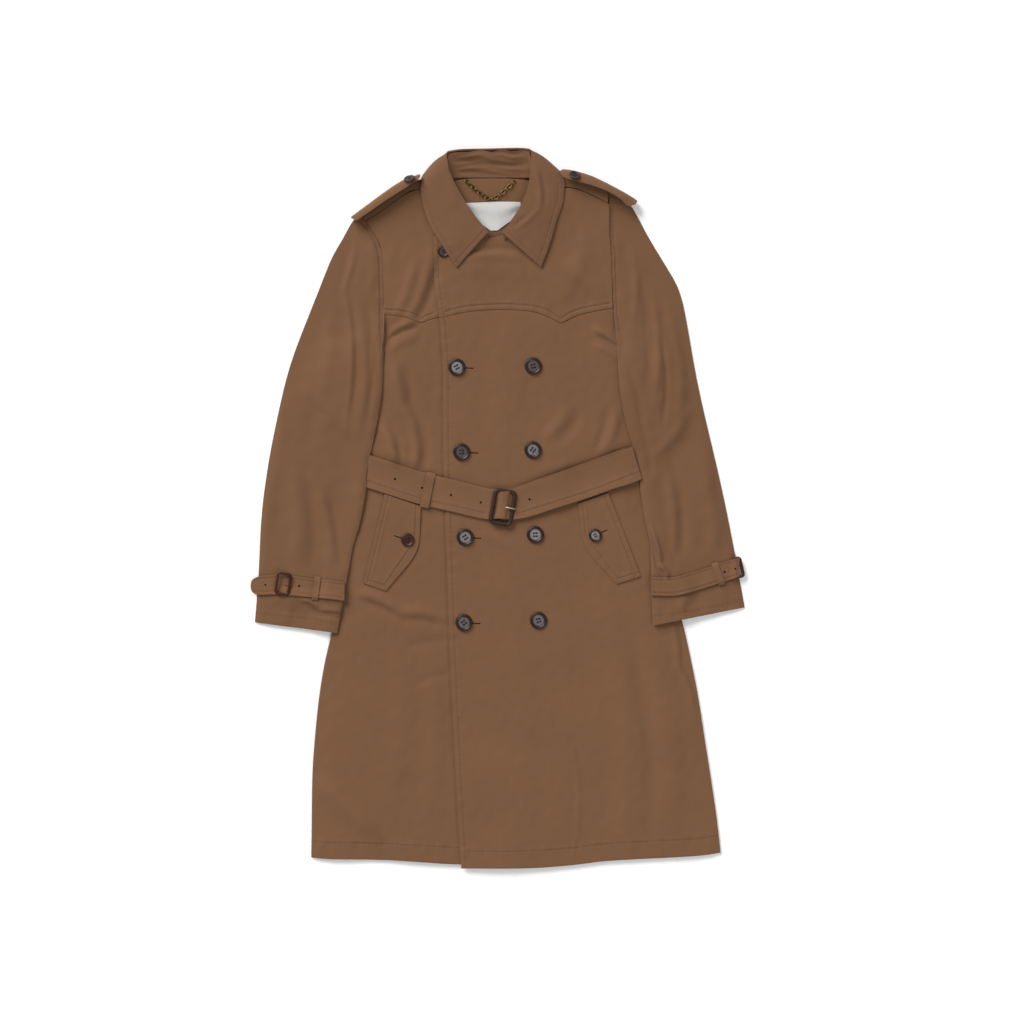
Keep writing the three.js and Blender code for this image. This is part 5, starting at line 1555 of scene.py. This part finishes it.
class COAT_OT_cuffs(bpy.types.Operator):
    """Make the cuff straps with their loops, buckles and worked holes"""

    bl_idname = "coat.cuffs"
    bl_label = "Cuff straps"

    def execute(self, context):
        for side, table in (("right", CUFF_RIGHT), ("left", CUFF_LEFT)):
            rows = strap_rows(table[1:] if side == "right" else table, 4.6)
            seams = [Seam(row, sink=0.6, ripple=0.5) for row in rows]
            cloth_piece("cuff_strap_" + side, seams, sleeve_lift, seed=11, edge=0.6,
                        adjust=over_bar if side == "left" else blunt_tip)
            cloth_piece("cuff_loop_" + side, (), sleeve_lift, edge=0.5,
                        adjust=shorter(*CUFF_LOOPS[side], 0.82))
        right, left = made["fine_cuff_strap_right"], made["fine_cuff_strap_left"]
        eyelets("cuff_holes_right", "coat_cloth", right, [(-306.4, -120.7, 1.8), (-359.1, -119.0, 1.5)])
        eyelets("cuff_holes_left", "coat_cloth", left, [(352.6, -99.0, 1.8), (369, -94.0, 1.4)])
        for side, cloth, centre, size, turn, z in (
            ("right", right, (-331.0, -117.2), (24.0, 35.5), -0.15, None),
            ("left", left, (374.2, -91.8), (14.2, 33.0), 0.22, 7.4),
        ):
            high = z if z is not None else max(
                height_on(cloth, centre[0] + across, centre[1] + up)
                for across in (-10, 0, 10) for up in (-12, 0, 12)) / MM + 1.3
            path = rounded_frame(size[0], size[1], 3.4, 2.1, turn, centre, high)
            if side == "left":
                path = [(x, y, z - 3.6 * float(step_up(3, -3, x - centre[0]))) for x, y, z in path]
            thick = [2.0 if side == "right" else 2.1 + 0.8 * float(step_up(0, 4, x - centre[0]))
                     for x, _, _ in path]
            rods = bent_rod(path, thick, closed=True, flat=0.85)
            dress(rods, "cuff_frame_" + side, "cuff leather", "cuff_frame", ["cuff_buckle_" + side])
        high = height_on(right, -324, -118) / MM
        prong = bent_rod([(-329, -118.4, high - 0.6), (-325, -118.4, high + 1.0), (-320.5, -118.5, high + 3.2),
                          (-317.5, -118.5, high + 3.0)], [1.1, 1.1, 1.05, 0.7])
        # The cuff prong takes the dark brass as painted shade: it lies in the shadow of its frame.
        dress(prong, "cuff_prong_pin", "dark brass and painted shade", "prong_brass", ["cuff_prong_right"])
        return {"FINISHED"}


def tucked_label(points):
    """The label's lower corners run in below the facing of the neck."""
    x, y = points[:, 0] / MM, points[:, 1] / MM
    low = 429 + 0.72 * (np.maximum(0, x - 1.0) + np.maximum(0, -9.6 - x))
    points[:, 1] = (low + (473 - low) * np.clip((y - 424) / 49, 0, 1.2)) * MM
    return points


CHAIN_LINE = ((-46.5, 506), (-35, 495), (-21, 484.5), (-9, 479), (3, 484.5), (16, 496), (29, 508))


class COAT_OT_neck(bpy.types.Operator):
    """Hang the chain in the neck and sew in the bare label"""

    bl_idname = "coat.neck"
    bl_label = "Chain and label"

    def execute(self, context):
        cloth_piece("neck_label", (), None, edge=0.25, adjust=tucked_label)
        back = made["fine_back"]
        line = smooth(CHAIN_LINE, 1.0)
        links = []
        distance, pitch = 0.0, 6.2
        for a, b in zip(line, line[1:]):
            distance += (b - a).length
            if distance < pitch and links:
                continue
            distance = 0.0
            bpy.ops.mesh.primitive_torus_add(major_segments=16, minor_segments=8, major_radius=2.7 * MM,
                                             minor_radius=0.95 * MM, location=(0, 0, 0))
            link = bpy.context.active_object
            roll = Matrix.Rotation(0.95 if len(links) % 2 else -0.35, 3, "X")
            turn = Matrix.Rotation(math.atan2(b.y - a.y, b.x - a.x), 3, "Z")
            high = (height_on(back, a.x, a.y) or 0.005) / MM
            for vertex in link.data.vertices:
                vertex.co.x *= 1.45
                vertex.co = turn @ (roll @ vertex.co) + Vector((a.x, a.y, high + 2.1)) * MM
            links.append(link)
        chain = joined(links)
        choose(chain)
        bpy.ops.object.shade_smooth()
        dress(chain, "chain_links", "dark brass and painted shade", "chain_brass", ["hanger_chain"])
        return {"FINISHED"}


class COAT_PT_panel(bpy.types.Panel):
    """Lists the coat's settings and the steps that make it"""

    bl_label = "Coat"
    bl_idname = "COAT_PT_panel"
    bl_space_type = "VIEW_3D"
    bl_region_type = "UI"
    bl_category = "Coat"

    def draw(self, context):
        for group in (context.scene.coat_sizes, context.scene.coat_colours):
            for key in group.bl_rna.properties.keys():
                if key not in ("rna_type", "name"):
                    self.layout.prop(group, key)
        for step in STEPS:
            self.layout.operator(step.bl_idname)


STEPS = (
    COAT_OT_stage,
    COAT_OT_back,
    COAT_OT_fronts,
    COAT_OT_yokes,
    COAT_OT_sleeves,
    COAT_OT_collar,
    COAT_OT_pockets,
    COAT_OT_buttons,
    COAT_OT_belt,
    COAT_OT_shoulders,
    COAT_OT_cuffs,
    COAT_OT_neck,
)
CLASSES = (CoatSizes, CoatColours, *STEPS, COAT_PT_panel)


def register():
    for item in CLASSES:
        bpy.utils.register_class(item)
    bpy.types.Scene.coat_sizes = bpy.props.PointerProperty(type=CoatSizes)
    bpy.types.Scene.coat_colours = bpy.props.PointerProperty(type=CoatColours)


def unregister():
    del bpy.types.Scene.coat_colours
    del bpy.types.Scene.coat_sizes
    for item in reversed(CLASSES):
        bpy.utils.unregister_class(item)


def main():
    register()
    for step in STEPS:
        group, action = step.bl_idname.split(".")
        getattr(getattr(bpy.ops, group), action)()


if __name__ == "__main__":
    main()
